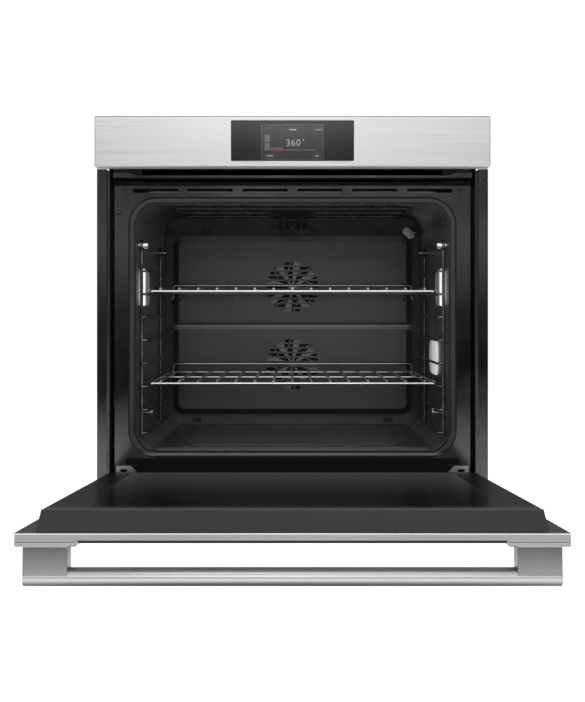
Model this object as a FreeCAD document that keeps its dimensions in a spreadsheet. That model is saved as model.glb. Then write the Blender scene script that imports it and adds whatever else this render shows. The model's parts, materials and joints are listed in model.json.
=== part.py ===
"""A built-in single wall oven, 757 mm wide, with its drop-down door open.

Frame: X to the right, Y to the back, Z up.  The origin is at the middle of the base's
front, in the plane where the side trims meet the face of the cabinet.
Millimetres.  Every size comes from the sheet "Sizes".
"""
import FreeCAD, Part
import Sketcher
import math
import operator
import os

V = FreeCAD.Vector
X_AXIS, Y_AXIS, Z_AXIS = V(1, 0, 0), V(0, 1, 0), V(0, 0, 1)

SIZES = (
    # chassis, the box that slides into the cabinet
    ("face_half", 378.5, "half the width of the control panel and door"),
    ("chassis_half", 355, "half the width of the chassis"),
    ("chassis_deep", 560, "depth of the chassis behind the cabinet face"),
    ("chassis_top", 703, "top of the chassis"),
    ("panel_top", 716, "top of the control panel"),
    ("panel_low", 618, "bottom of the control panel"),
    ("face_reach", 27, "control panel and door in front of the cabinet face"),
    ("panel_bend", 2.8, "bend radius of the control panel's folded edges"),
    ("skin", 1.2, "sheet steel of the panels"),
    ("trim_inside", 359.5, "inner edge of the side trims from the centre line"),
    ("trim_thick", 2, "side trim steel"),
    ("trim_leg", 32, "depth of the fold behind each side trim"),
    ("trim_screw_x", 369, "installation screws from the centre line"),
    ("trim_screw_z", 596, "height of the installation screws"),
    ("trim_hole", 2.6, "radius of the installation holes"),
    # display in the control panel
    ("display_half", 117.5, "half the width of the display glass"),
    ("display_low", 629.6, "bottom of the display glass"),
    ("display_high", 707.6, "top of the display glass"),
    ("screen_half", 59.5, "half the width of the lit screen"),
    ("screen_low", 632.5, "bottom of the lit screen"),
    ("screen_high", 700, "top of the lit screen"),
    # enamelled front frame
    ("frame_half", 347, "half the width of the front frame"),
    ("frame_front", 18, "front frame behind the cabinet face"),
    ("frame_low", 22, "bottom of the front frame"),
    ("frame_top", 587.5, "top of the front frame"),
    ("slot_z", 578, "height of the vent slots"),
    ("slot_pitch", 107.1, "vent slot spacing"),
    ("slot_long", 89.2, "vent slot length"),
    ("slot_high", 7.8, "vent slot height"),
    # cavity
    ("mouth_half", 305.3, "half the width of the cavity"),
    ("mouth_low", 70, "bottom of the cavity mouth"),
    ("mouth_high", 551, "top of the cavity mouth"),
    ("ceiling", 568, "cavity ceiling"),
    ("floor", 66, "cavity bottom under the floor panel"),
    ("cavity_back", 472, "front of the cavity's rear wall"),
    ("corner", 41, "cavity corner radius"),
    ("gasket_wide", 12, "width of the door gasket"),
    ("gasket_front", 13.4, "front of the door gasket"),
    # fan cover on the rear wall
    ("baffle_half", 282.5, "half the width of the fan cover"),
    ("baffle_low", 97, "bottom of the fan cover"),
    ("baffle_high", 520, "top of the fan cover"),
    ("baffle_front", 445, "face of the fan cover"),
    ("fold_z", 307, "height of the fold across the fan cover"),
    ("fold_half", 9, "half the height of the fold"),
    ("fold_deep", 7, "depth of the fold"),
    ("fan_high", 398.5, "height of the upper fan axis"),
    ("fan_low", 216.3, "height of the lower fan axis"),
    ("grille_pitch", 11, "fan grille slot spacing"),
    ("grille_high", 6.5, "fan grille slot height"),
    ("fan_radius", 62, "convection fan radius"),
    # racks and their supports
    ("rung_first", 102.2, "height of the lowest rung"),
    ("rung_pitch", 45.7, "rung spacing"),
    ("rung_x", 286, "rungs from the centre line"),
    ("post_x", 298, "support posts from the centre line"),
    ("post_front", 42, "front support post"),
    ("post_back", 335, "rear support post"),
    ("rung_wire", 2.5, "rung wire radius"),
    ("post_wire", 3, "post wire radius"),
    ("rack_half", 284, "half the width of the rack frame, wire centres"),
    ("rack_front", 49, "front wire of the rack"),
    ("rack_back", 413, "rear wire of the rack"),
    ("rack_wire", 3, "rack frame wire radius"),
    ("grid_wire", 2.3, "rack grid wire radius"),
    ("grid_pitch", 37.34, "rack grid wire spacing"),
    ("ride_gap", 0.3, "gap between rack and rung"),
    ("stud_z", 473, "height of the upper support studs"),
    # heating elements
    ("element_wire", 3.5, "heating tube radius"),
    ("broil_z", 548, "height of the broil element"),
    ("bake_z", 58, "height of the hidden bake element"),
    # lamps in the side walls
    ("lamp_y", 128, "upper lamps behind the cabinet face"),
    ("lamp_z", 391, "height of the upper lamps"),
    ("lamp_low_y", 219, "lower right lamp behind the cabinet face"),
    ("lamp_low_z", 245, "height of the lower right lamp"),
    ("lamp_long", 104, "lamp lens length"),
    ("lamp_high", 76, "lamp lens height"),
    # door, given as it stands when it is shut
    ("pivot_y", -6, "hinge pin behind the cabinet face"),
    ("pivot_z", 15, "hinge pin height"),
    ("open_angle", 86.4, "how far the door is let down"),
    ("door_low", 22, "bottom of the door skin"),
    ("door_top", 614, "top of the door skin"),
    ("door_rim", 12, "depth of the door skin's folded rim"),
    ("glass_half", 348.7, "half the width of the inner glass"),
    ("glass_low", 32, "bottom of the inner glass"),
    ("glass_high", 572, "top of the inner glass"),
    ("glass_face", 13, "inner face of the inner glass when shut"),
    ("window_half", 262, "half the width of the window in the skin"),
    ("window_low", 186, "bottom of the window in the skin"),
    ("window_high", 476, "top of the window in the skin"),
    ("bar_radius", 13, "handle bar radius"),
    ("bar_out", 48, "handle bar axis from the door's face"),
    ("bar_z", 601, "handle bar height"),
    ("bar_half", 366, "half the length of the handle bar"),
    # hinges
    ("hinge_x", 329, "hinge centre from the centre line"),
    ("pin_radius", 4, "hinge pin radius"),
    ("pin_gap", 0.06, "running clearance of the hinge pin"),
)

doc = FreeCAD.newDocument("wall_oven")
sheet = doc.addObject("Spreadsheet::Sheet", "Sizes")
for row, (alias, amount, note) in enumerate(SIZES, start=1):
    sheet.set(f"A{row}", note)
    sheet.set(f"B{row}", str(amount))
    sheet.setAlias(f"B{row}", alias)
doc.recompute()


# ------------------------------------------------------------------ sizes and expressions

class Size:
    """A length with its number and the sheet expression that gives it."""

    def __init__(self, value, text):
        self.value = float(value)
        self.text = text

    def joined(self, other, sign, work, swapped=False):
        other = as_size(other)
        first, second = (other, self) if swapped else (self, other)
        return Size(work(first.value, second.value), f"({first.text} {sign} {second.text})")

    def __add__(self, other):
        return self.joined(other, "+", operator.add)

    def __radd__(self, other):
        return self.joined(other, "+", operator.add, swapped=True)

    def __sub__(self, other):
        return self.joined(other, "-", operator.sub)

    def __rsub__(self, other):
        return self.joined(other, "-", operator.sub, swapped=True)

    def __mul__(self, other):
        return self.joined(other, "*", operator.mul)

    def __rmul__(self, other):
        return self.joined(other, "*", operator.mul, swapped=True)

    def __truediv__(self, other):
        return self.joined(other, "/", operator.truediv)

    def __neg__(self):
        return Size(-self.value, f"(-{self.text})")


def as_size(length):
    return length if isinstance(length, Size) else Size(length, f"{length:.6g}")


class Sheet:
    """The driving sizes by name: s.skin is the cell with the alias skin."""

    def __getattr__(self, alias):
        return Size(sheet.get(alias), f"Sizes.{alias}")


s = Sheet()


def bind(thing, path, length):
    """Drive a property, or one of its fields, from the sheet."""
    thing.setExpression(path, as_size(length).text)


# ------------------------------------------------------------------ plain solids

nodes = []


def node(thing, label):
    """Declare a finished sub-part."""
    thing.Label = label
    nodes.append(thing)
    return thing


def block(name, x, y, z):
    """A box between two corners, each pair given as (low, high)."""
    box = doc.addObject("Part::Box", name)
    for prop, field, (low, high) in (("Length", "x", x), ("Width", "y", y), ("Height", "z", z)):
        bind(box, prop, as_size(high) - low)
        bind(box, f"Placement.Base.{field}", low)
    return box


def rod(name, radius, start, length, axis):
    """A cylinder from start along an axis letter."""
    turn = {"x": (Y_AXIS, 90), "y": (X_AXIS, -90), "z": (Z_AXIS, 0)}[axis]
    cylinder = doc.addObject("Part::Cylinder", name)
    cylinder.Placement = FreeCAD.Placement(V(0, 0, 0), FreeCAD.Rotation(*turn))
    bind(cylinder, "Radius", radius)
    bind(cylinder, "Height", length)
    for field, place in zip("xyz", start):
        bind(cylinder, f"Placement.Base.{field}", place)
    return cylinder


def fused(name, pieces):
    if len(pieces) == 1:
        return pieces[0]
    union = doc.addObject("Part::MultiFuse", name)
    union.Shapes = pieces
    return union


def cut(name, base, tools):
    result = doc.addObject("Part::Cut", name)
    result.Base = base
    result.Tool = fused(name + "_tools", tools)
    return result


def group(name, pieces):
    """Identical separate pieces that share one node."""
    compound = doc.addObject("Part::Compound", name)
    compound.Links = pieces
    return compound


def shaped(name, shape):
    """A piece whose shape is worked out here from the sheet's sizes."""
    feature = doc.addObject("Part::Feature", name)
    feature.Shape = shape
    return feature


# ------------------------------------------------------------------ sketched solids

def body(name):
    return doc.addObject("PartDesign::Body", name)


def sketch(owner, plane="XZ_Plane", offset=0):
    """A sketch on one of the body's own planes, moved along the plane's normal."""
    flat = owner.newObject("Sketcher::SketchObject", owner.Name + "_sketch")
    origin = next(part for part in owner.Origin.OriginFeatures if part.Role == plane)
    flat.AttachmentSupport = [(origin, "")]
    flat.MapMode = "FlatFace"
    bind(flat, "AttachmentOffset.Base.z", offset)
    return flat


def constrain(flat, length, *terms):
    """Add a dimension and drive it from the sheet."""
    length = as_size(length)
    flat.addConstraint(Sketcher.Constraint(*terms, length.value))
    bind(flat, f"Constraints[{flat.ConstraintCount - 1}]", length)


def join_in_ring(flat, ring, relation):
    for this, following in zip(ring, ring[1:] + ring[:1]):
        flat.addConstraint(Sketcher.Constraint(relation, this, 2, following, 1))


def polygon(flat, points):
    """A closed outline through (across, up) points, all of them dimensioned."""
    corners = [(as_size(across), as_size(up)) for across, up in points]
    spots = [V(across.value, up.value, 0) for across, up in corners]
    ring = [flat.addGeometry(Part.LineSegment(a, b), False) for a, b in zip(spots, spots[1:] + spots[:1])]
    join_in_ring(flat, ring, "Coincident")
    for line, (across, up) in zip(ring, corners):
        constrain(flat, across, "DistanceX", line, 1)
        constrain(flat, up, "DistanceY", line, 1)


def rounded(flat, across, up, radius):
    """A rectangle with round corners between (low, high) pairs."""
    left, right, low, high = (as_size(length) for length in (*across, *up))
    radius = as_size(radius)
    bend = radius.value
    x0, x1, z0, z1 = left.value, right.value, low.value, high.value

    def line(start, end):
        return flat.addGeometry(Part.LineSegment(V(*start, 0), V(*end, 0)), False)

    def arc(centre, first):
        circle = Part.Circle(V(*centre, 0), Z_AXIS, bend)
        turns = (first * math.pi / 2, (first + 1) * math.pi / 2)
        return flat.addGeometry(Part.ArcOfCircle(circle, *turns), False)

    bottom = line((x0 + bend, z0), (x1 - bend, z0))
    ring = [bottom, arc((x1 - bend, z0 + bend), -1)]
    ring.append(line((x1, z0 + bend), (x1, z1 - bend)))
    ring.append(arc((x1 - bend, z1 - bend), 0))
    ring.append(line((x1 - bend, z1), (x0 + bend, z1)))
    ring.append(arc((x0 + bend, z1 - bend), 1))
    ring.append(line((x0, z1 - bend), (x0, z0 + bend)))
    ring.append(arc((x0 + bend, z0 + bend), 2))
    join_in_ring(flat, ring, "Tangent")
    for flat_line in (ring[0], ring[4]):
        flat.addConstraint(Sketcher.Constraint("Horizontal", flat_line))
    for upright in (ring[2], ring[6]):
        flat.addConstraint(Sketcher.Constraint("Vertical", upright))
    for corner in (ring[3], ring[5], ring[7]):
        flat.addConstraint(Sketcher.Constraint("Equal", ring[1], corner))
    constrain(flat, radius, "Radius", ring[1])
    constrain(flat, left, "DistanceX", ring[6], 1)
    constrain(flat, right, "DistanceX", ring[2], 1)
    constrain(flat, low, "DistanceY", ring[0], 1)
    constrain(flat, high, "DistanceY", ring[4], 1)


def slot(flat, centre, length, height):
    """A horizontal slot with half-round ends."""
    middle, level = (as_size(place) for place in centre)
    reach = (as_size(length) - height) / 2
    radius = as_size(height) / 2
    x0, x1 = middle.value - reach.value, middle.value + reach.value
    low, high = level.value - radius.value, level.value + radius.value

    def cap(x, first):
        circle = Part.Circle(V(x, level.value, 0), Z_AXIS, radius.value)
        start, end = first * math.pi / 2, (first + 2) * math.pi / 2
        return flat.addGeometry(Part.ArcOfCircle(circle, start, end), False)

    bottom = flat.addGeometry(Part.LineSegment(V(x0, low, 0), V(x1, low, 0)), False)
    right = cap(x1, -1)
    top = flat.addGeometry(Part.LineSegment(V(x1, high, 0), V(x0, high, 0)), False)
    left = cap(x0, 1)
    join_in_ring(flat, [bottom, right, top, left], "Tangent")
    flat.addConstraint(Sketcher.Constraint("Horizontal", bottom))
    constrain(flat, radius, "Radius", right)
    constrain(flat, middle - reach, "DistanceX", left, 3)
    constrain(flat, middle + reach, "DistanceX", right, 3)
    constrain(flat, level, "DistanceY", right, 3)


def circle(flat, centre, radius):
    across, up, radius = as_size(centre[0]), as_size(centre[1]), as_size(radius)
    ring = flat.addGeometry(Part.Circle(V(across.value, up.value, 0), Z_AXIS, radius.value), False)
    constrain(flat, radius, "Radius", ring)
    constrain(flat, across, "DistanceX", ring, 3)
    constrain(flat, up, "DistanceY", ring, 3)


def feature(owner, kind, flat, length, backwards=False):
    """Pad or pocket a sketch; on the XZ plane a pad grows towards the front."""
    step = owner.newObject(f"PartDesign::{kind}", f"{owner.Name}_{kind.lower()}")
    step.Profile = flat
    bind(step, "Length", length)
    step.Reversed = backwards
    return step


def plate(owner, outlines, front, back, kind="Pad"):
    """Pad or pocket outlines drawn in the front view, between two depths.

    Each outline is a function that draws into the sketch it is given.
    """
    flat = sketch(owner, "XZ_Plane", -as_size(back))
    for outline in outlines:
        outline(flat)
    return feature(owner, kind, flat, as_size(back) - front, backwards=kind == "Pocket")


def box_outline(across, up, radius):
    return lambda flat: rounded(flat, across, up, radius)


def ring_plate(owner, across, up, radius, wall, front, back):
    """A rounded rectangular frame, given by its inside, with its wall outside that."""
    grown = [(as_size(low) - wall, as_size(high) + wall) for low, high in (across, up)]
    outer = box_outline(*grown, as_size(radius) + wall)
    return plate(owner, [outer, box_outline(across, up, radius)], front, back)


def edges_at(shape, places):
    """Names of the edges that lie in all the given planes, such as {"y": 3}."""
    found = []
    for number, edge in enumerate(shape.Edges, start=1):
        reach = edge.BoundBox
        lows = {"x": reach.XMin, "y": reach.YMin, "z": reach.ZMin}
        highs = {"x": reach.XMax, "y": reach.YMax, "z": reach.ZMax}
        if all(abs(lows[a] - at) < 0.01 and abs(highs[a] - at) < 0.01 for a, at in places.items()):
            found.append(f"Edge{number}")
    return found


def soften(owner, kind, radius, place):
    """Fillet or chamfer the body's edges that lie in one plane."""
    doc.recompute()
    base = owner.Tip
    step = owner.newObject(f"PartDesign::{kind}", f"{owner.Name}_{kind.lower()}")
    step.Base = (base, edges_at(base.Shape, place))
    bind(step, "Radius" if kind == "Fillet" else "Size", radius)
    return step


# ------------------------------------------------------------------ bent wire and tube

def bent_path(points, bend):
    """Straight runs joined by tangent arcs of one radius."""
    spots = [V(*point) for point in points]
    edges = []
    start = spots[0]
    for before, corner, after in zip(spots, spots[1:], spots[2:]):
        arriving = (corner - before).normalize()
        leaving = (after - corner).normalize()
        half_turn = arriving.getAngle(leaving) / 2
        reach = bend * math.tan(half_turn)
        first = corner - arriving * reach
        last = corner + leaving * reach
        inward = (leaving - arriving).normalize()
        centre = corner + inward * (bend / math.cos(half_turn))
        edges.append(Part.LineSegment(start, first).toShape())
        edges.append(Part.Arc(first, centre - inward * bend, last).toShape())
        start = last
    edges.append(Part.LineSegment(start, spots[-1]).toShape())
    return Part.Wire(edges)


def tube(points, radius, bend):
    """A round wire or tube along a bent path."""
    path = bent_path(points, bend)
    start = V(*points[0])
    heading = (V(*points[1]) - start).normalize()
    profile = Part.Wire([Part.Circle(start, heading, radius).toShape()])
    return path.makePipeShell([profile], True, False)


def wire(start, end, radius):
    """A straight round wire."""
    start, end = V(*start), V(*end)
    return Part.makeCylinder(radius, (end - start).Length, start, (end - start).normalize())


def welded(pieces):
    return pieces[0].multiFuse(pieces[1:]).removeSplitter()


def both_sides(piece):
    """A piece and its mirror image about the centre line."""
    return [piece, piece.mirror(V(0, 0, 0), X_AXIS)]


# ------------------------------------------------------------------ chassis

cable_entry = (270, 655)
cable_entry_radius = 11.1
switch_spot = (-337, 536)       # door switch on the front frame
blower_spot = (0, 415)          # axis of the cooling blower, seen from above


def half(length):
    return (-as_size(length), as_size(length))


def chassis():
    """Base, sides, top and rear cover: the sheet box around everything."""
    inner = s.chassis_half - s.skin
    rim_high = 18
    vent_first, vent_pitch, vent_high, vent_deep = 628, 12, 4, (465, 535)
    louvre_first, louvre_pitch, louvre_wide, louvre_deep = -150, 20, 8, (400, 500)

    shell = block("base_shell", half(inner), (-2, s.chassis_deep - s.skin), (0, rim_high))
    deep = (-10, s.chassis_deep - 2 * s.skin)
    room = block("base_room", half(inner - s.skin), deep, (s.skin, rim_high + 1))
    node(cut("base_cut", shell, [room]), "base_pan")

    for side, sign in (("left", -1), ("right", 1)):
        low, high = sorted((sign * s.chassis_half, sign * inner), key=lambda length: length.value)
        panel = block(f"side_{side}", (low, high), (0, s.chassis_deep), (0, s.chassis_top - s.skin))
        vents = []
        for number in range(5):
            level = vent_first + vent_pitch * number
            tall = (level, level + vent_high)
            vents.append(block(f"vent_{side}_{number}", (low - 1, high + 1), vent_deep, tall))
        node(cut(f"side_{side}_cut", panel, vents), f"side_panel_{side}")

    lid = block("lid", half(s.chassis_half), (0, s.chassis_deep), (s.chassis_top - s.skin, s.chassis_top))
    through = (s.chassis_top - 3, s.chassis_top + 7)
    louvres = []
    for number in range(16):
        start = louvre_first + louvre_pitch * number
        louvres.append(block(f"louvre_{number}", (start, start + louvre_wide), louvre_deep, through))
    node(cut("lid_cut", lid, louvres), "top_cover")

    cover = body("rear_cover_body")
    top = s.chassis_top - 2 * s.skin
    plate(cover, [box_outline(half(inner - 0.3), (20, top), 3)], s.chassis_deep - s.skin, s.chassis_deep)
    slots = []
    for fan in (s.fan_high, s.fan_low):
        for number in range(-3, 4):
            level = fan + vent_pitch * number
            slots.append(lambda flat, level=level: slot(flat, (0, level), 110, 5))
    slots.append(lambda flat: circle(flat, cable_entry, cable_entry_radius))
    plate(cover, slots, s.chassis_deep - 5, s.chassis_deep + 5, "Pocket")
    node(cover, "rear_cover")


def side_trims():
    """The black steel strips that cover the edge of the cabinet's cut-out."""
    inside, outside = s.trim_inside, s.face_half - 0.5
    for side, sign in (("left", -1), ("right", 1)):
        def span(near, far):
            return sorted((sign * as_size(near), sign * as_size(far)), key=lambda length: length.value)

        tall = (4, s.panel_low - 0.6)
        strip = block(f"trim_strip_{side}", span(inside, outside), (-s.trim_thick, 0), tall)
        leg = block(f"trim_leg_{side}", span(inside, inside + s.skin), (0, s.trim_leg), tall)
        place = (sign * s.trim_screw_x, -s.trim_thick - 1, s.trim_screw_z)
        hole = rod(f"trim_hole_{side}", s.trim_hole, place, s.trim_thick + 2, "y")
        node(cut(f"trim_{side}", fused(f"trim_{side}_steel", [strip, leg]), [hole]), f"side_trim_{side}")


def front_frame():
    """The enamelled face around the cavity mouth, with its vent slots and folded sides."""
    frame = body("front_frame_body")
    back = s.frame_front + s.skin
    gap = s.gasket_wide + s.skin + 2
    mouth = box_outline(
        half(s.mouth_half + gap), (s.mouth_low - gap, s.mouth_high + gap), s.corner + gap
    )
    outline = box_outline(half(s.frame_half), (s.frame_low, s.frame_top), 2)
    plate(frame, [outline, mouth], s.frame_front, back)
    for sign in (-1, 1):
        low, high = sorted(
            (sign * s.frame_half, sign * (s.frame_half - s.skin)), key=lambda length: length.value
        )
        fold = [lambda flat, low=low, high=high: polygon(
            flat, [(low, s.frame_low + 24), (high, s.frame_low + 24),
                   (high, s.frame_top - 2), (low, s.frame_top - 2)]
        )]
        plate(frame, fold, back - 0.5, 44)
        reach = sorted((sign * (s.frame_half - s.skin), sign * (s.chassis_half - s.skin - 0.2)),
                       key=lambda length: length.value)
        foot = [lambda flat, reach=reach: polygon(
            flat, [(reach[0], 46), (reach[1], 46), (reach[1], s.frame_top - 2), (reach[0], s.frame_top - 2)]
        )]
        plate(frame, foot, 43.5, 43.5 + s.skin)
    lip = [lambda flat: polygon(flat, [
        (-s.frame_half + 2, s.frame_top - s.skin), (s.frame_half - 2, s.frame_top - s.skin),
        (s.frame_half - 2, s.frame_top), (-s.frame_half + 2, s.frame_top),
    ])]
    plate(frame, lip, back - 0.5, 48)
    slots = [
        lambda flat, number=number: slot(
            flat, (s.slot_pitch * (number - 2.5), s.slot_z), s.slot_long, s.slot_high
        )
        for number in range(6)
    ]
    plate(frame, slots, s.frame_front - 5, back + 5, "Pocket")
    switch = [lambda flat: circle(flat, switch_spot, 6.2)]
    plate(frame, switch, s.frame_front - 5, back + 5, "Pocket")
    for sign in (-1, 1):
        span = sorted((sign * (s.hinge_x - 11), sign * (s.hinge_x + 11)), key=lambda length: length.value)
        notch = [lambda flat, span=span: polygon(
            flat, [(span[0], s.frame_low - 4), (span[1], s.frame_low - 4), (span[1], 38), (span[0], 38)]
        )]
        plate(frame, notch, s.frame_front - 5, back + 5, "Pocket")
    node(frame, "front_frame")


def vent_strip():
    """The shelf over the front frame that parts the two air outlets, with a lipped front."""
    shelf_low = 601
    strip = body("vent_strip_body")
    ear_in, ear_out, lip_top, ear_top = 315, s.frame_half, shelf_low + 4.4, shelf_low + 9.8
    front = [lambda flat: polygon(flat, [
        (-ear_out, shelf_low), (ear_out, shelf_low), (ear_out, ear_top), (ear_in, ear_top),
        (ear_in - 12, lip_top), (12 - ear_in, lip_top), (-ear_in, ear_top), (-ear_out, ear_top),
    ])]
    plate(strip, front, 0, s.skin)
    shelf = [lambda flat: polygon(flat, [
        (-ear_out, shelf_low), (ear_out, shelf_low),
        (ear_out, shelf_low + s.skin), (-ear_out, shelf_low + s.skin),
    ])]
    plate(strip, shelf, s.skin / 2, 60)
    node(strip, "vent_strip")


# ------------------------------------------------------------------ control panel

def control_panel():
    """Stainless fascia folded back on all sides, with the display set into it."""
    fascia = body("fascia_body")
    up = (s.panel_low, s.panel_top)
    plate(fascia, [box_outline(half(s.face_half), up, 3)], -s.face_reach, -0.5)
    soften(fascia, "Fillet", s.panel_bend, {"y": -s.face_reach.value})
    wall = s.skin
    inner = box_outline(half(s.face_half - wall), (s.panel_low + wall, s.panel_top - wall), 2)
    plate(fascia, [inner], -s.face_reach + wall, 1, "Pocket")
    window = box_outline(half(s.display_half), (s.display_low, s.display_high), 2)
    plate(fascia, [window], -s.face_reach - 5, -s.face_reach + 3, "Pocket")
    node(fascia, "control_panel_fascia")

    glass = body("display_glass_body")
    pane = box_outline(half(s.display_half - 0.4), (s.display_low + 0.4, s.display_high - 0.4), 1.8)
    plate(glass, [pane], -s.face_reach + 1.4, -s.face_reach + 4.4)
    soften(glass, "Chamfer", 0.4, {"y": -s.face_reach.value + 1.4})
    node(glass, "display_glass")

    screen_back = -s.face_reach + 11
    depth = (-s.face_reach + 4.5, screen_back)
    node(block("screen", half(s.screen_half), depth, (s.screen_low, s.screen_high)),
         "display_module")

    board = block("board", half(s.display_half + 20), (-14, -12.4), (s.display_low - 4, s.display_high + 2))
    parts = [
        block("chip_a", (-30, -8), (-12.6, -9), (650, 672)),
        block("chip_b", (26, 40), (-12.6, -9.5), (655, 669)),
        block("plug_a", (80, 112), (-12.6, -3), (640, 650)),
        block("plug_b", (-112, -88), (-12.6, -3), (640, 650)),
        block("buzzer", (60, 74), (-12.6, -5), (680, 694)),
        block("screen_plug", (-20, 20), (screen_back + 0.1, -13.9), (688, 694)),
    ]
    node(fused("control_board_parts", [board] + parts), "control_board")

    power = block("power", (-290, -90), (90, 210), (640, 641.6))
    tall = [
        block(f"relay_{number}", (-280 + 30 * number, -258 + 30 * number), (100, 116), (641.5, 657))
        for number in range(5)
    ]
    tall.append(block("transformer", (-160, -120), (150, 192), (641.5, 676)))
    tall.append(rod("capacitor", 9, (-200, 172, 641.5), 26, "z"))
    tall.append(block("tab_row", (-278, -220), (136, 142), (641.5, 652)))
    legs = [rod(f"leg_{x}_{y}", 3, (x, y, 628), 12.5, "z") for x in (-284, -96) for y in (96, 204)]
    node(fused("power_board_parts", [power] + tall + legs), "power_board")


# ------------------------------------------------------------------ cavity

ring_radius = 78        # heating ring around each convection fan
ring_tail = 15          # its two ends from the centre line
ring_drop = 76.5        # and below the fan's axis
broil_tails = (-27.5, -12, 12, 27.5)
broil_drop = 10         # ends of the broil element below its plane
sensor_tilt = 40
sensor_x, sensor_z = 277, 527
sensor_arm = 7.5        # probe from the middle of its plate


def wall_holes():
    """Centre, up and radius of each hole that passes through the cavity's rear wall."""
    holes = [((0, fan), 6) for fan in (s.fan_high, s.fan_low)]
    holes += [((x, fan - ring_drop), 5) for fan in (s.fan_high, s.fan_low) for x in (-ring_tail, ring_tail)]
    holes += [((x, s.broil_z - broil_drop), 5) for x in broil_tails]
    holes.append((sensor_spot(), 5))
    return holes


def sensor_spot():
    """Where the tilted sensor's probe passes through the rear wall."""
    tilt = math.radians(sensor_tilt)
    return sensor_x + sensor_arm * math.cos(tilt), sensor_z - sensor_arm * math.sin(tilt)


def cavity():
    """The enamelled oven box: wrapper with its front flange, rear wall and floor panel."""
    wall = s.skin
    wrapper = body("cavity_wrapper_body")
    across = half(s.mouth_half)
    seat = s.frame_front + 5
    outer = box_outline(half(s.mouth_half + 26), (s.mouth_low - 22, s.mouth_high + 26), s.corner + 24)
    plate(wrapper, [outer, box_outline(across, (s.mouth_low, s.mouth_high), s.corner)], seat, seat + wall)
    ring_plate(wrapper, across, (s.mouth_low, s.mouth_high), s.corner, wall, s.frame_front, seat + 0.5)
    ring_plate(wrapper, across, (s.floor, s.ceiling), s.corner, wall, seat + wall / 2, s.cavity_back + 8)
    rear_hole = box_outline(half(s.mouth_half - 12), (s.floor + 12, s.ceiling - 12), 29)
    rear_edge = box_outline(half(s.mouth_half + wall), (s.floor - wall, s.ceiling + wall), s.corner + wall)
    plate(wrapper, [rear_edge, rear_hole], s.cavity_back + 7, s.cavity_back + 7 + wall)
    upper_lamp, lower_lamp = (s.lamp_y, s.lamp_z), (s.lamp_low_y, s.lamp_low_z)
    for sign, places in ((-1, [upper_lamp]), (1, [upper_lamp, lower_lamp])):
        for deep, level in places:
            start = sign * s.mouth_half - 6
            flat = sketch(wrapper, "YZ_Plane", start)
            rounded(flat, (deep - s.lamp_long / 2 + 6, deep + s.lamp_long / 2 - 6),
                    (level - s.lamp_high / 2 + 6, level + s.lamp_high / 2 - 6), 20)
            feature(wrapper, "Pocket", flat, 12, backwards=True)
    node(wrapper, "cavity_wrapper")

    rear = body("cavity_rear_body")
    across, up = half(s.mouth_half - 3), (s.mouth_low + 1.5, s.ceiling - 3)
    bend = s.corner - 3
    plate(rear, [box_outline(across, up, bend)], s.cavity_back, s.cavity_back + wall)
    rim = (half(s.mouth_half - 3 - wall), (s.mouth_low + 1.5 + wall, s.ceiling - 3 - wall), bend - wall)
    ring_plate(rear, *rim, wall, s.cavity_back + wall / 2, s.cavity_back + 7)
    holes = [lambda flat, spot=spot, size=size: circle(flat, spot, size) for spot, size in wall_holes()]
    plate(rear, holes, s.cavity_back - 5, s.cavity_back + 5, "Pocket")
    node(rear, "cavity_rear_wall")

    floor = body("cavity_floor_body")
    under = s.mouth_low - wall
    flat = sketch(floor, "XY_Plane", under)
    rounded(flat, half(s.mouth_half - 34), (s.frame_front + 14, s.cavity_back - 4), 14)
    feature(floor, "Pad", flat, wall)
    flat = sketch(floor, "XY_Plane", s.mouth_low - 0.2)
    rounded(flat, half(220), (90, 400), 30)
    feature(floor, "Pad", flat, 4.2)
    soften(floor, "Chamfer", 3.6, {"z": s.mouth_low.value + 4})
    node(floor, "cavity_floor_panel")


def gasket():
    """The round-nosed seal that lies in the groove around the cavity mouth."""
    seal = body("gasket_body")
    gap = s.skin + 0.5
    across = half(s.mouth_half + gap)
    up = (s.mouth_low - gap, s.mouth_high + gap)
    ring_plate(seal, across, up, s.corner + gap, s.gasket_wide, s.gasket_front, s.frame_front + 4.9)
    soften(seal, "Fillet", 5, {"y": s.gasket_front.value})
    node(seal, "door_gasket")


def insulation():
    """Glass-fibre blanket around the cavity, with room for the lamps, shafts and terminals."""
    blanket = block("blanket", half(342), (50, 506), (34, 598))
    room = block("blanket_room", half(s.mouth_half + 3), (40, 484), (50, s.ceiling + 4))
    tools = [room]
    for number, ((x, z), _) in enumerate(wall_holes()):
        tools.append(rod(f"blanket_hole_{number}", 11, (x, 480, z), 40, "y"))
    for number, x in enumerate((-30, 30)):
        tools.append(rod(f"blanket_bake_hole_{number}", 7, (x, 480, s.bake_z), 40, "y"))
    lamps = ((-1, s.lamp_y, s.lamp_z), (1, s.lamp_y, s.lamp_z), (1, s.lamp_low_y, s.lamp_low_z))
    for number, (sign, deep, level) in enumerate(lamps):
        x = sorted((sign * 300, sign * 345))
        reach = (deep - s.lamp_long / 2 - 3, deep + s.lamp_long / 2 + 3)
        tools.append(block(f"blanket_lamp_{number}", x, reach,
                           (level - s.lamp_high / 2 - 3, level + s.lamp_high / 2 + 3)))
    node(cut("blanket_cut", blanket, tools), "insulation_wrap")


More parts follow.
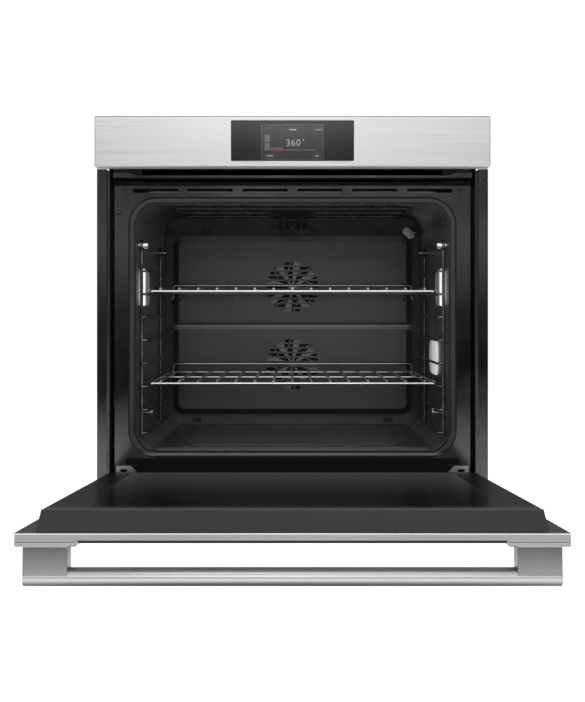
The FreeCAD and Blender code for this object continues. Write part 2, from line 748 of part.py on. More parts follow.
def fan_cover():
    """The bevelled steel cover in front of both fans, with a grille for each."""
    cover = body("fan_cover_body")
    up = (s.baffle_low, s.baffle_high)
    deep = s.cavity_back - 0.4
    bend, bevel = 26, 14
    plate(cover, [box_outline(half(s.baffle_half), up, bend)], s.baffle_front, deep)
    soften(cover, "Chamfer", bevel, {"y": s.baffle_front.value})
    wall = s.skin
    room = (half(s.baffle_half - wall), (s.baffle_low + wall, s.baffle_high - wall))
    plate(cover, [box_outline(*room, bend - wall)], s.baffle_front + bevel, deep + 1, "Pocket")
    rims = []
    for inset, depth in ((wall, bevel), (bevel + 0.5, wall)):
        flat = sketch(cover, "XZ_Plane", -(s.baffle_front + depth))
        up = (s.baffle_low + inset, s.baffle_high - inset)
        rounded(flat, half(s.baffle_half - inset), up, bend - inset)
        rims.append(flat)
    hollow = cover.newObject("PartDesign::SubtractiveLoft", "fan_cover_hollow")
    hollow.Profile = rims[0]
    hollow.Sections = [rims[1]]
    fold_back = s.baffle_front + s.fold_deep + wall
    for step in (0.6, 3, 5.5):
        across = half(s.baffle_half - bevel + step)
        behind = box_outline(across, (s.fold_z - s.fold_half - 2, s.fold_z + s.fold_half + 2), 1)
        plate(cover, [behind], s.baffle_front + step, fold_back)
    fold = sketch(cover, "YZ_Plane", -s.baffle_half - 2)
    polygon(fold, [
        (s.baffle_front - s.fold_deep, s.fold_z - 2 * s.fold_half),
        (s.baffle_front + s.fold_deep, s.fold_z),
        (s.baffle_front - s.fold_deep, s.fold_z + 2 * s.fold_half),
    ])
    feature(cover, "Pocket", fold, 2 * s.baffle_half + 4, backwards=True)
    rows = []
    for fan in (s.fan_high, s.fan_low):
        for number in range(-5, 6):
            level = s.grille_pitch * number
            reach = grille_length(abs(number))
            rows.append(lambda flat, fan=fan, level=level, reach=reach: slot(
                flat, (0, fan + level), reach, s.grille_high))
    plate(cover, rows, s.baffle_front - 5, s.baffle_front + 4, "Pocket")
    node(cover, "fan_cover")


def grille_length(step):
    """Length of a grille slot that is so many steps from the fan's axis: a chord of a circle."""
    outer = 61.9
    level = step * s.grille_pitch.value + (4 if step == 5 else 0)
    return 2 * math.sqrt(outer ** 2 - level ** 2)


# ------------------------------------------------------------------ fans and heaters

def convection_fans():
    """Two pressed wheels on their motor shafts, with their motors and ring heaters."""
    motors, rings = [], []
    disc_front, disc, shaft_end, shaft, blade_front = 466, 1, 520, 58, 453
    for name, level in (("upper", s.fan_high), ("lower", s.fan_low)):
        wheel = body(f"fan_{name}_body")
        parts = ((s.fan_radius, disc_front + disc, disc), (3, shaft_end, shaft), (9, disc_front + 0.5, 9))
        for radius, behind, thick in parts:
            flat = sketch(wheel, "XZ_Plane", -behind)
            circle(flat, (0, level), radius)
            feature(wheel, "Pad", flat, thick)
        blades = []
        for number in range(16):
            blades.append(lambda flat, number=number, level=level: fan_blade(flat, level, number))
        plate(wheel, blades, blade_front, disc_front + 0.5)
        node(wheel, f"fan_wheel_{name}")

        case = rod(f"motor_case_{name}", 36, (0, 516, level), 34, "y")
        flange = block(f"motor_flange_{name}", (-52, 52), (508, 510), (level - 20, level + 20))
        neck = rod(f"motor_neck_{name}", 14, (0, 509, level), 8, "y")
        bore = rod(f"motor_bore_{name}", 3.06, (0, 500, level), 22, "y")
        motors.append(cut(f"motor_{name}", fused(f"motor_{name}_solid", [case, flange, neck]), [bore]))

        z = level.value
        ring = Part.makeTorus(ring_radius, 3.2, V(0, 459, z), Y_AXIS)
        ends = [wire((x, 459, z - ring_drop), (x, 508, z - ring_drop), 3.2) for x in (-ring_tail, ring_tail)]
        rings.append(shaped(f"ring_{name}", welded([ring] + ends)))
    node(group("motor_pair", motors), "convection_motors")
    node(group("ring_pair", rings), "convection_elements")


def fan_blade(flat, level, number):
    """One raked blade of the wheel, as a thin four-cornered outline."""
    angle = 2 * math.pi * number / 16
    rake = 0.35
    near, far, thick = 34, 60, 0.55
    corners = []
    for distance, side in ((near, -1), (far, -1), (far, 1), (near, 1)):
        turn = angle + (rake if distance == far else 0)
        x = distance * math.sin(turn) + side * thick * math.cos(turn)
        z = distance * math.cos(turn) - side * thick * math.sin(turn)
        corners.append((x, level + z))
    polygon(flat, corners)


def broil_element():
    """The serpentine grill heater under the ceiling and the plate that hangs it."""
    z = s.broil_z.value
    radius = s.element_wire.value
    near, far = 46, 234
    rows = (60, 154, 245, 315)
    back = 508

    def serpentine(sign):
        tail = sign * broil_tails[3]
        return [
            (tail, back, z - broil_drop), (tail, 400, z - broil_drop), (tail, 372, z),
            (tail, rows[3], z), (sign * far, rows[3], z), (sign * far, rows[2], z),
            (sign * near, rows[2], z), (sign * near, rows[1], z), (sign * far, rows[1], z),
            (sign * far, rows[0], z),
        ]

    outer = serpentine(-1) + serpentine(1)[::-1]
    tail, inner_front = broil_tails[2], 330
    half_loop = [(tail, inner_front, z), (tail, 372, z),
                 (tail, 400, z - broil_drop), (tail, back, z - broil_drop)]
    inner = [(-x, y, level) for x, y, level in half_loop[::-1]] + half_loop
    tubes = [tube(outer, radius, 10), tube(inner, radius, 8)]
    node(group("broil_tubes", [shaped(f"broil_tube_{n}", piece) for n, piece in enumerate(tubes)]),
         "broil_element")

    plate_low, plate_high = 524, 555
    mount = Part.makeBox(112, 1.5, plate_high - plate_low, V(-56, s.cavity_back.value - 1.9, plate_low))
    for x in broil_tails:
        start = V(x, s.cavity_back.value - 10, z - broil_drop)
        mount = mount.cut(Part.makeCylinder(radius + 0.4, 20, start, Y_AXIS))
    bars = []
    for x in (104, 158, 205):
        bar = Part.makeBox(4, 275, 1.5, V(x - 2, 50, z + radius + 0.3))
        hooks = [Part.makeBox(4, 1.5, s.ceiling.value - z - radius - 0.6, V(x - 2, y, z + radius + 0.3))
                 for y in (105, 200, 280)]
        bars.extend(both_sides(welded([bar] + hooks)))
    pieces = [mount] + bars
    node(group("broil_hangers", [shaped(f"broil_hanger_{n}", piece) for n, piece in enumerate(pieces)]),
         "broil_hanger")


def bake_element():
    """The heater under the cavity bottom."""
    z = s.bake_z.value
    half_run, rows, back = 235, (110, 190, 270, 350), 508
    route = [(-30, back, z), (-30, rows[3] + 40, z), (-half_run, rows[3] + 40, z), (-half_run, rows[0], z)]
    route += [(-half_run + 60, rows[0], z), (-half_run + 60, rows[3], z)]
    route += [(-60, rows[3], z), (-60, rows[0], z)]
    mirrored = [(-x, y, level) for x, y, level in reversed(route)]
    node(shaped("bake_tube", tube(route + mirrored, s.element_wire.value, 14)), "bake_element")


def sensor():
    """The temperature probe on its oblong plate, tilted beside the fan cover."""
    base = Part.makeBox(31, 2, 18, V(-15.5, 0, -9))
    base = base.makeFillet(8.5, [e for e in base.Edges if abs(e.tangentAt(e.FirstParameter).y) > 0.9])
    thin, reach = 2.6, 90
    probe = Part.makeCylinder(thin, reach + 2, V(sensor_arm, -reach, 0), Y_AXIS)
    tip = Part.makeSphere(thin, V(sensor_arm, -reach, 0))
    collar = Part.makeCylinder(5, 5, V(sensor_arm, -4.5, 0), Y_AXIS)
    tail = Part.makeCylinder(thin, 30, V(sensor_arm, 1.5, 0), Y_AXIS)
    plate_screw = Part.makeCylinder(4.2, 3, V(-sensor_arm, -2.4, 0), Y_AXIS)
    shape = welded([base, probe, tip, collar, tail, plate_screw])
    shape.rotate(V(0, 0, 0), Y_AXIS, sensor_tilt)
    shape.translate(V(sensor_x, s.cavity_back.value - 2.4, sensor_z))
    node(shaped("sensor_probe", shape), "temperature_sensor")


# ------------------------------------------------------------------ lamps

def lamps():
    """Pressed glass lenses in the side walls, each with its holder and bulb outside the wall."""
    places = (("left", -1, s.lamp_y, s.lamp_z), ("right_upper", 1, s.lamp_y, s.lamp_z),
              ("right_lower", 1, s.lamp_low_y, s.lamp_low_z))
    lenses, holders = [], []
    for name, sign, deep, level in places:
        lens = body(f"lens_{name}_body")
        wall = sign * s.mouth_half
        flat = sketch(lens, "YZ_Plane", wall)
        rounded(flat, (deep - s.lamp_long / 2, deep + s.lamp_long / 2),
                (level - s.lamp_high / 2, level + s.lamp_high / 2), 26)
        feature(lens, "Pad", flat, 5.2, backwards=sign > 0)
        soften(lens, "Fillet", 4, {"x": wall.value - sign * 5.2})
        flat = sketch(lens, "YZ_Plane", wall)
        rounded(flat, (deep - s.lamp_long / 2 + 7, deep + s.lamp_long / 2 - 7),
                (level - s.lamp_high / 2 + 7, level + s.lamp_high / 2 - 7), 19)
        feature(lens, "Pad", flat, 3, backwards=sign < 0)
        lenses.append(lens)

        def span(near, far):
            return sorted((sign * (s.mouth_half + near), sign * (s.mouth_half + far)), key=lambda v: v.value)

        tray = block(f"tray_{name}", span(3.6, 32), (deep - 48, deep + 48), (level - 34, level + 34))
        room = block(f"tray_room_{name}", span(3, 30), (deep - 46, deep + 46), (level - 32, level + 32))
        base = block(f"bulb_base_{name}", span(10, 26), (deep - 46.5, deep - 26), (level - 9, level + 9))
        bulb = rod(f"bulb_{name}", 6, (sign * (s.mouth_half + 18), deep - 27, level), 32, "y")
        shell = cut(f"tray_cut_{name}", tray, [room])
        holders.append(fused(f"holder_{name}", [shell, base, bulb]))
    node(group("lamp_lens_set", lenses), "lamp_lenses")
    node(group("lamp_holder_set", holders), "lamp_holders")


# ------------------------------------------------------------------ racks and supports

def rung_height(number):
    return s.rung_first.value + s.rung_pitch.value * number


def rack_supports():
    """Chrome wire ladders on both side walls, hung on studs."""
    x, inside = s.post_x.value, s.rung_x.value
    front, back = s.post_front.value, s.post_back.value
    wires = []
    for y in (front, back):
        wires.append(wire((x, y, rung_height(0) - 6), (x, y, s.stud_z.value - 7), s.post_wire.value))
    for number in range(8):
        z = rung_height(number)
        route = [(x, front, z), (inside, front, z), (inside, back, z), (x, back, z)]
        wires.append(tube(route, s.rung_wire.value, 6))
    for y in (front, back):
        wires.append(Part.makeTorus(8.5, 2.5, V(x, y, s.stud_z.value), X_AXIS))
    right = welded(wires)
    left = right.mirror(V(0, 0, 0), X_AXIS)
    node(shaped("ladder_left", left), "rack_support_left")
    node(shaped("ladder_right", right), "rack_support_right")

    studs = []
    for y, z in ((front, s.stud_z.value), (back, s.stud_z.value)):
        neck = wire((x + 6, y, z), (x - 11, y, z), 5)
        head = wire((x - 6, y, z), (x - 13, y, z), 6.5)
        studs.extend(both_sides(welded([neck, head])))
    neck = wire((x + 6, 150, 132), (x - 8, 150, 132), 3)
    nut = wire((x - 4, 150, 132), (x - 9, 150, 132), 8)
    studs.extend(both_sides(welded([neck, nut])))
    stud_set = group("stud_set", [shaped(f"stud_{n}", piece) for n, piece in enumerate(studs)])
    node(stud_set, "rack_support_studs")


def rack(name, rung):
    """A chrome wire rack: round frame with grid wires welded on top, and a bent rear rail that is
    the raised stop in the middle and the two hooked feet at its ends."""
    frame_r, grid_r = s.rack_wire.value, s.grid_wire.value
    rail_r = grid_r + 0.2
    wide, front, back = s.rack_half.value, s.rack_front.value, s.rack_back.value
    middle = (front + back) / 2 + 7
    overhang, weld = 1.5, 0.5
    z = rung_height(rung) + s.rung_wire.value + s.ride_gap.value + frame_r
    route = [(0, front, z), (wide, front, z), (wide, back, z)]
    route += [(-wide, back, z), (-wide, front, z), (0, front, z)]
    wires = [tube(route, frame_r, 7), wire((-wide, middle, z), (wide, middle, z), frame_r - 0.4)]
    top = z + frame_r + grid_r - weld
    for number in range(-7, 8):
        x = s.grid_pitch.value * number
        wires.append(wire((x, front - overhang, top), (x, back + overhang, top), grid_r))

    stop, foot, toe = 19, 13, 12
    leg = wide - frame_r - rail_r - 0.7
    behind = back + frame_r + rail_r
    rail = [(leg + toe, behind, z - foot), (leg, behind, z - foot), (leg, behind, z + stop)]
    rail += [(-x, y, level) for x, y, level in reversed(rail)]
    node(shaped(f"{name}_wires", Part.makeCompound([welded(wires), tube(rail, rail_r, 6)])), name)


# ------------------------------------------------------------------ cooling, wiring, switch

def cooling_system():
    """Blower over the cavity, its wheel and motor, and the duct that leads to the front outlet."""
    wall = s.skin
    low, high = 602.4, 640
    case_half, duct_half = 99, 300
    axis = blower_spot[1]
    y0, y1 = 330, 500
    case = block("blower_case", half(case_half), (y0, y1), (low, high))
    room = block("blower_room", half(case_half - wall), (y0 - 1, y1 - wall), (low + wall, high - wall))
    inlet = rod("blower_inlet", 46, (*blower_spot, high - 5), 10, "z")
    node(cut("blower_case_cut", case, [room, inlet]), "blower_housing")

    duct_top = 628
    duct = block("duct", half(duct_half), (62, y0 - 0.3), (low, duct_top))
    duct_room = block("duct_room", half(duct_half - wall), (61, y0 + 1), (low + wall, duct_top - wall))
    node(cut("duct_cut", duct, [duct_room]), "cooling_duct")

    wheel = body("blower_wheel_body")
    for radius, start, tall in ((56, low + 6, 1), (10, low + 6.5, 14), (3, low + 6.5, 52)):
        flat = sketch(wheel, "XY_Plane", start)
        circle(flat, blower_spot, radius)
        feature(wheel, "Pad", flat, tall)
    flat = sketch(wheel, "XY_Plane", low + 6.5)
    count, near, far, rake, half_thick = 20, 38, 54, 0.3, 0.5
    for number in range(count):
        angle = 2 * math.pi * number / count
        corners = []
        for distance, side in ((near, -1), (far, -1), (far, 1), (near, 1)):
            turn = angle + (rake if distance == far else 0)
            edge = side * half_thick
            corners.append((distance * math.cos(turn) - edge * math.sin(turn),
                            axis + distance * math.sin(turn) + edge * math.cos(turn)))
        polygon(flat, corners)
    feature(wheel, "Pad", flat, 24)
    node(wheel, "blower_wheel")

    arm_half, arm_low, arm_top = 66, 646, 648
    case = rod("blower_motor_case", 34, (*blower_spot, arm_top + 4), 34, "z")
    arm = block("blower_arm", half(8), (axis - arm_half, axis + arm_half), (arm_low, arm_top))
    legs = []
    for number, start in enumerate((axis - arm_half, axis + arm_half - 2)):
        legs.append(block(f"blower_leg_{number}", half(8), (start, start + 2), (high, arm_top)))
    neck = rod("blower_neck", 12, (*blower_spot, arm_top - 1), 6, "z")
    bore = rod("blower_bore", 3.06, (*blower_spot, high), 26, "z")
    solid = fused("blower_motor_solid", [case, neck, arm] + legs)
    node(cut("blower_motor_cut", solid, [bore]), "blower_motor")


def wiring():
    """Terminal block inside the cable entry of the rear cover."""
    deep, seat, pitch, first = (500, 530), 635.5, 21, 238
    base = block("terminal_base", (first - 3, first + 67), deep, (618, seat + 0.5))
    ribs = []
    for number in range(4):
        start = first + pitch * number
        ribs.append(block(f"terminal_rib_{number}", (start, start + 4), deep, (seat, 646)))
    screws = []
    for number in range(3):
        place = (first + 13.5 + pitch * number, 515, seat)
        screws.append(rod(f"terminal_screw_{number}", 3.5, place, 4, "z"))
    node(fused("terminal_parts", [base] + ribs + screws), "terminal_block")


def door_switch():
    """The spring switch that the shut door presses, at the upper left of the front frame."""
    x, z = switch_spot
    ring = rod("switch_ring", 8, (x, s.frame_front - 1.2, z), 1.1, "y")
    case = rod("switch_case", 6, (x, s.frame_front - 0.6, z), 22, "y")
    bore = rod("switch_bore", 4.1, (x, s.frame_front - 2, z), 18, "y")
    node(cut("switch_cut", fused("switch_solid", [ring, case]), [bore]), "door_switch_body")

    reach = 9
    pin = Part.makeCylinder(4, 17, V(x, s.frame_front.value - reach, z), Y_AXIS)
    front = [e for e in pin.Edges if e.BoundBox.YMax < s.frame_front.value - reach + 0.1]
    node(shaped("switch_pin", pin.makeFillet(2.5, front)), "door_switch_plunger")


# ------------------------------------------------------------------ door

def hung(thing, label):
    """A piece of the door: made shut, then let down about the hinge pin."""
    pivot = V(0, s.pivot_y.value, s.pivot_z.value)
    turn = FreeCAD.Rotation(X_AXIS, sheet.get("open_angle"))
    thing.Placement = FreeCAD.Placement(pivot - turn.multVec(pivot), turn)
    return node(thing, label)


def door_panel():
    """Stainless skin with a window, liner, three panes and the bevelled top trim."""
    face = -s.face_reach
    rim = face + s.door_rim
    wall = s.skin

    skin = body("door_skin_body")
    plate(skin, [box_outline(half(s.face_half), (s.door_low, s.door_top), 3)], face, rim)
    soften(skin, "Fillet", 1.5, {"y": face.value})
    inner = box_outline(half(s.face_half - wall), (s.door_low + wall, s.door_top - wall), 2)
    plate(skin, [inner], face + wall, rim + 5, "Pocket")
    flange = [
        box_outline(half(s.face_half - 0.4), (s.door_low + 0.4, s.door_top - 0.4), 3),
        box_outline(half(s.glass_half + 2), (s.door_low + 7.5, s.door_top - 5), 2),
    ]
    plate(skin, flange, rim - wall, rim)
    window = box_outline(half(s.window_half), (s.window_low, s.window_high), 8)
    plate(skin, [window], face - 5, face + 5, "Pocket")
    hung(skin, "door_outer_skin")

    glass = body("outer_glass_body")
    lap = 14
    pane = box_outline(half(s.window_half + lap), (s.window_low - lap, s.window_high + lap), 6)
    plate(glass, [pane], face + wall + 0.1, face + wall + 3.1)
    hung(glass, "door_outer_glass")

    liner = body("door_liner_body")
    outer_half, low, high = s.glass_half + 0.8, s.door_low + 8, s.glass_high - 0.5
    seat = s.glass_face - 4.1
    rim_at = face + wall + 0.1
    room = (half(outer_half - wall), (low + wall, high - wall), 6)
    ring_plate(liner, *room, wall, rim_at, seat)
    plate(liner, [
        box_outline(half(outer_half), (low, high), 6 + wall),
        box_outline(half(outer_half - 30), (low + 30, high - 30), 12),
    ], seat - wall, seat)
    shelf = -s.face_reach + 20
    plate(liner, [
        box_outline(half(outer_half - 0.4), (low + 0.4, high - 0.4), 6),
        box_outline(half(outer_half - 44), (low + 44, high - 44), 12),
    ], shelf, shelf + wall)
    for sign in (-1, 1):
        span = sorted((sign * (s.hinge_x - 13), sign * (s.hinge_x + 13)), key=lambda length: length.value)
        gap = [lambda flat, span=span: polygon(
            flat, [(span[0], low - 5), (span[1], low - 5), (span[1], low + 215), (span[0], low + 215)]
        )]
        plate(liner, gap, rim_at + 1, seat - wall - 1, "Pocket")
    hung(liner, "door_liner")

    middle = body("middle_glass_body")
    pane = box_outline(half(outer_half - 36), (low + 36, high - 36), 8)
    plate(middle, [pane], shelf + wall + 0.1, shelf + wall + 4.1)
    hung(middle, "door_middle_glass")

    inner_glass = body("inner_glass_body")
    plate(inner_glass, [box_outline(half(s.glass_half), (s.glass_low, s.glass_high), 5)],
          s.glass_face - 4, s.glass_face)
    soften(inner_glass, "Chamfer", 0.8, {"y": s.glass_face.value})
    hung(inner_glass, "door_inner_glass")

    trim = body("door_trim_body")
    top, bottom, thick = s.door_top - 5, s.glass_high + 0.6, 2.4
    outer_line = [(rim + 0.2, bottom), (s.glass_face - 0.6, bottom), (s.glass_face - 0.6, bottom + 3),
                  (rim + 0.2, top)]
    flat = sketch(trim, "YZ_Plane", -(s.glass_half + 1.5))
    polygon(flat, outer_line)
    feature(trim, "Pad", flat, 2 * (s.glass_half + 1.5))
    flat = sketch(trim, "YZ_Plane", -(s.glass_half + 1.5) + thick)
    polygon(flat, [(rim - 2, bottom - 2), (s.glass_face - 0.6 - thick, bottom - 2),
                   (s.glass_face - 0.6 - thick, bottom + 2), (rim - 2, top - 2)])
    feature(trim, "Pocket", flat, 2 * (s.glass_half + 1.5) - 2 * thick, backwards=True)
    hung(trim, "door_top_trim")


def door_handle():
    """Full-width bar between two stand-off brackets on the door's top corners."""
    face = -s.face_reach
    axis_y = face - s.bar_out
    bar = rod("bar", s.bar_radius, (-s.bar_half, 0, 0), 2 * s.bar_half, "x")
    hung(moved_to(bar, axis_y, s.bar_z, "bar_place"), "handle_bar")

    for side, sign in (("left", -1), ("right", 1)):
        bracket = body(f"bracket_{side}_body")
        low, high = sorted((sign * 293, sign * 378))
        foot = box_outline((low, high), (s.door_top - 28, s.door_top), 2)
        plate(bracket, [foot], face - 6, face - 0.1)
        soften(bracket, "Chamfer", 1.2, {"y": face.value - 6})
        arm_low, arm_high = sorted((sign * 305, sign * 366))
        arm = box_outline((arm_low, arm_high), (s.bar_z - s.bar_radius, s.bar_z + s.bar_radius), 1.5)
        plate(bracket, [arm], axis_y + 3, face - 1)
        flat = sketch(bracket, "YZ_Plane", arm_low - 2)
        circle(flat, (axis_y, s.bar_z), s.bar_radius)
        feature(bracket, "Pocket", flat, arm_high - arm_low + 4, backwards=True)
        hung(bracket, f"handle_bracket_{side}")


def moved_to(thing, y, z, name):
    """A piece shifted by bound lengths, wrapped so that it can be turned with the door."""
    bind(thing, "Placement.Base.y", y)
    bind(thing, "Placement.Base.z", z)
    return group(name, [thing])


# ------------------------------------------------------------------ hinges

def hinges():
    """Sockets in the chassis with fixed arms, and sprung channels in the door on pins."""
    y, z = s.pivot_y.value, s.pivot_z.value
    pin, gap = s.pin_radius.value, s.pin_gap.value
    x = s.hinge_x.value
    front = s.frame_front.value

    plate_y = front - 3.4
    corners = [(304, 10), (343, 10), (343, 41), (316, 41), (304, 29)]
    face = Part.Face(Part.makePolygon([V(a, plate_y, b) for a, b in corners + corners[:1]]))
    socket = face.extrude(V(0, 3.2, 0))
    box = Part.makeBox(20, 31, 26, V(x - 10, front - 1, 11))
    room = Part.makeBox(13, 60, 21, V(x - 6.5, plate_y - 5, 13.5))
    socket = welded([socket, box]).cut(room)
    node(group("socket_pair", [shaped(f"socket_{n}", piece) for n, piece in enumerate(both_sides(socket))]),
         "hinge_receivers")

    arm = welded([
        Part.makeBox(8, 46 - y, 11, V(x - 4, y, z - 1.5)),
        Part.makeCylinder(8, 8, V(x - 4, y, z), X_AXIS),
    ]).cut(Part.makeCylinder(pin + gap, 20, V(x - 10, y, z), X_AXIS))
    node(group("arm_pair", [shaped(f"arm_{n}", piece) for n, piece in enumerate(both_sides(arm))]),
         "hinge_arms")

    ears = []
    for low in (x - 9, x + 6):
        ear = Part.makeCylinder(8, 3, V(low, y, z), X_AXIS)
        web = Part.makeBox(3, 16, 205, V(low, y - 8, z))
        ears.append(welded([ear, web]).cut(Part.makeCylinder(pin, 10, V(low - 3, y, z), X_AXIS)))
    back_web = Part.makeBox(18, 2, 180, V(x - 9, y - 8, z + 25))
    channel = welded(ears + [back_web])
    stop = Part.makeBox(12, 14, 4, V(x - 6, y - 8, z + 80)).cut(
        Part.makeCylinder(3.4, 10, V(x, y, z + 77), Z_AXIS))
    channel = welded([channel, stop])
    pair = group("channel_pair", [shaped(f"channel_{n}", p) for n, p in enumerate(both_sides(channel))])
    hung(pair, "hinge_channels")

    shaft = Part.makeCylinder(pin, 20, V(x - 10, y, z), X_AXIS)
    head = Part.makeCylinder(pin + 1.6, 1.6, V(x + 9.1, y, z), X_AXIS)
    pins = both_sides(welded([shaft, head]))
    hung(group("pin_pair", [shaped(f"pin_{n}", piece) for n, piece in enumerate(pins)]), "hinge_pins")

    stem = Part.makeCylinder(3, 112, V(x, y, z + 44), Z_AXIS)
    cap = Part.makeCylinder(5.5, 3, V(x, y, z + 153), Z_AXIS)
    eye = Part.makeBox(7, 10, 12, V(x - 3.5, y - 5, z + 36))
    rods = both_sides(welded([stem, cap, eye]))
    hung(group("rod_pair", [shaped(f"rod_{n}", piece) for n, piece in enumerate(rods)]), "hinge_rods")

    coil = Part.makeHelix(7.8, 62, 4.3)
    coil.translate(V(x, y, z + 88))
    profile = Part.Wire([Part.Circle(V(x + 4.3, y, z + 88), Y_AXIS, 0.9).toShape()])
    spring = coil.makePipeShell([profile], True, True)
    springs = both_sides(spring)
    hung(group("spring_pair", [shaped(f"spring_{n}", piece) for n, piece in enumerate(springs)]),
         "hinge_springs")


# ------------------------------------------------------------------ fasteners

def screw(place, toward, head=4):
    """A pan-head screw's head, standing on the surface and pointing to its outward side."""
    outward = V(*toward)
    start = V(*place)
    cap = Part.makeCylinder(head, 2.2, start, outward)
    rim = [edge for edge in cap.Edges if edge.Closed and (edge.CenterOfMass - start).dot(outward) > 2]
    return cap.makeFillet(1.2, rim)


def fasteners():
    """Visible screw heads, in two groups."""
    front, back = s.frame_front.value, s.cavity_back.value
    cover = s.baffle_front.value
    heads = [screw((sign * 328, front, 579), (0, -1, 0), head=4.5) for sign in (-1, 1)]
    heads += [screw((sign * 263, cover, 369), (0, -1, 0), head=3.6) for sign in (-1, 1)]
    heads += [screw((sign * 46, back - 2, 539.5), (0, -1, 0), head=3.8) for sign in (-1, 1)]
    clips = []
    for sign in (-1, 1):
        for x, z in ((205, 531), (228, 82)):
            tab = Part.makeBox(22, 1.2, 13, V(sign * x - 11, back - 1.4, z - 6))
            clips.append(welded([tab, screw((sign * x, back - 1.3, z), (0, -1, 0), head=3)]))
    pieces = heads + clips
    node(group("inner_screws", [shaped(f"inner_screw_{n}", piece) for n, piece in enumerate(pieces)]),
         "cavity_screws")

    heads = []
    for x in (-330, -165, 0, 165, 330):
        for z in (32, 690):
            heads.append(screw((x, s.chassis_deep.value, z), (0, 1, 0)))
    for sign in (-1, 1):
        for y in (60, 280, 500):
            heads.append(screw((sign * s.chassis_half.value, y, 690), (sign, 0, 0)))
            heads.append(screw((sign * s.chassis_half.value, y, 10), (sign, 0, 0)))
    node(group("outer_screws", [shaped(f"outer_screw_{n}", piece) for n, piece in enumerate(heads)]),
         "cover_screws")


# ------------------------------------------------------------------ build and export

def build():
    chassis()
    side_trims()
    front_frame()
    vent_strip()
    control_panel()
    cavity()
    gasket()
    insulation()
    fan_cover()
    convection_fans()
    broil_element()
    bake_element()
    sensor()
    lamps()
    rack_supports()
    rack("rack_upper", 6)
    rack("rack_lower", 2)
    cooling_system()
    wiring()
    door_switch()
    door_panel()
    door_handle()
    hinges()
    fasteners()


def check_and_export():
    doc.recompute()
    failed = [part.Name for part in doc.Objects if "Invalid" in part.State or "Error" in part.State]
    if failed:
        raise RuntimeError(f"objects that did not build: {failed}")
    for part in nodes:
        if part.Shape.isNull() or not part.Shape.isValid():
            raise RuntimeError(f"{part.Label} has no valid shape")
    os.makedirs("parts", exist_ok=True)
    for part in nodes:
        part.Shape.exportStep(f"parts/{part.Label}.step")
    print(len(nodes), "nodes written")


build()
check_and_export()
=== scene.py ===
import json
import math

import bmesh
import bpy
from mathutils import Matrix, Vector


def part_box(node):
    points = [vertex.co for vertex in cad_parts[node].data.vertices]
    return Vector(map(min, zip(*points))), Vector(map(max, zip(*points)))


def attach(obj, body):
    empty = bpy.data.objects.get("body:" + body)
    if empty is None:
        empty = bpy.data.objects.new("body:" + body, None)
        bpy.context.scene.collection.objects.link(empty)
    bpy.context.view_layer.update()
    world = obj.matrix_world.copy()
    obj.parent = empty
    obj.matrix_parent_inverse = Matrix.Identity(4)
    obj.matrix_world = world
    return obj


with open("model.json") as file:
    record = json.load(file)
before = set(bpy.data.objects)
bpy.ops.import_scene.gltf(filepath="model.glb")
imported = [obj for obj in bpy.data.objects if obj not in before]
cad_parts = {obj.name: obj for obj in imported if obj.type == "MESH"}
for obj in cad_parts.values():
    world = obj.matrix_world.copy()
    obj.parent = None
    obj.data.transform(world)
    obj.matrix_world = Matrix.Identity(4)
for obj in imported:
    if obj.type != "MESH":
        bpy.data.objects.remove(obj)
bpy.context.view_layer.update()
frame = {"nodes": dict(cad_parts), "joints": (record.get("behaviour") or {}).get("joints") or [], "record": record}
NODES = frame["nodes"]
JOINTS = {joint["name"]: joint for joint in frame["joints"]}
MOUNTS = {mount["name"]: mount for mount in frame["record"]["mounts"]}

MM = 0.001
DOOR_ANGLE = JOINTS["door_hinge"]["range_deg"][1]
FAN_AXLES = [JOINTS[name]["pos_m"][2] for name in ("lower_fan_spin", "upper_fan_spin")]
RECESS_SHADE_HALF = 291.5 * MM      # half the length of the painted shade line under the door's front edge
FOLD_HEIGHT = 307 * MM      # the fold across the fan cover, between the two grilles
LAMPS = (                   # name, side, Y and Z
    ("left", -1, 128 * MM, 391 * MM),
    ("right", 1, 128 * MM, 391 * MM),
    ("right_low", 1, 219 * MM, 245 * MM),
)
LAMP_GLOW = 1.35
# light that the walls send back: name, then place, aim and size in mm, radiance, mirrored or not
GLOWS = (
    ("ceiling_glow", (0, 130, 430), (0, 150, 570), (440, 120), 0.35, True),
    ("back_glow", (0, 400, 561), (0, 415, 300), (520, 120), 0.35, False),
    ("between_racks", (0, 200, 325), (0, 445, 290), (440, 60), 1.5, False),
)


# ------------------------------------------------------------------ material kit

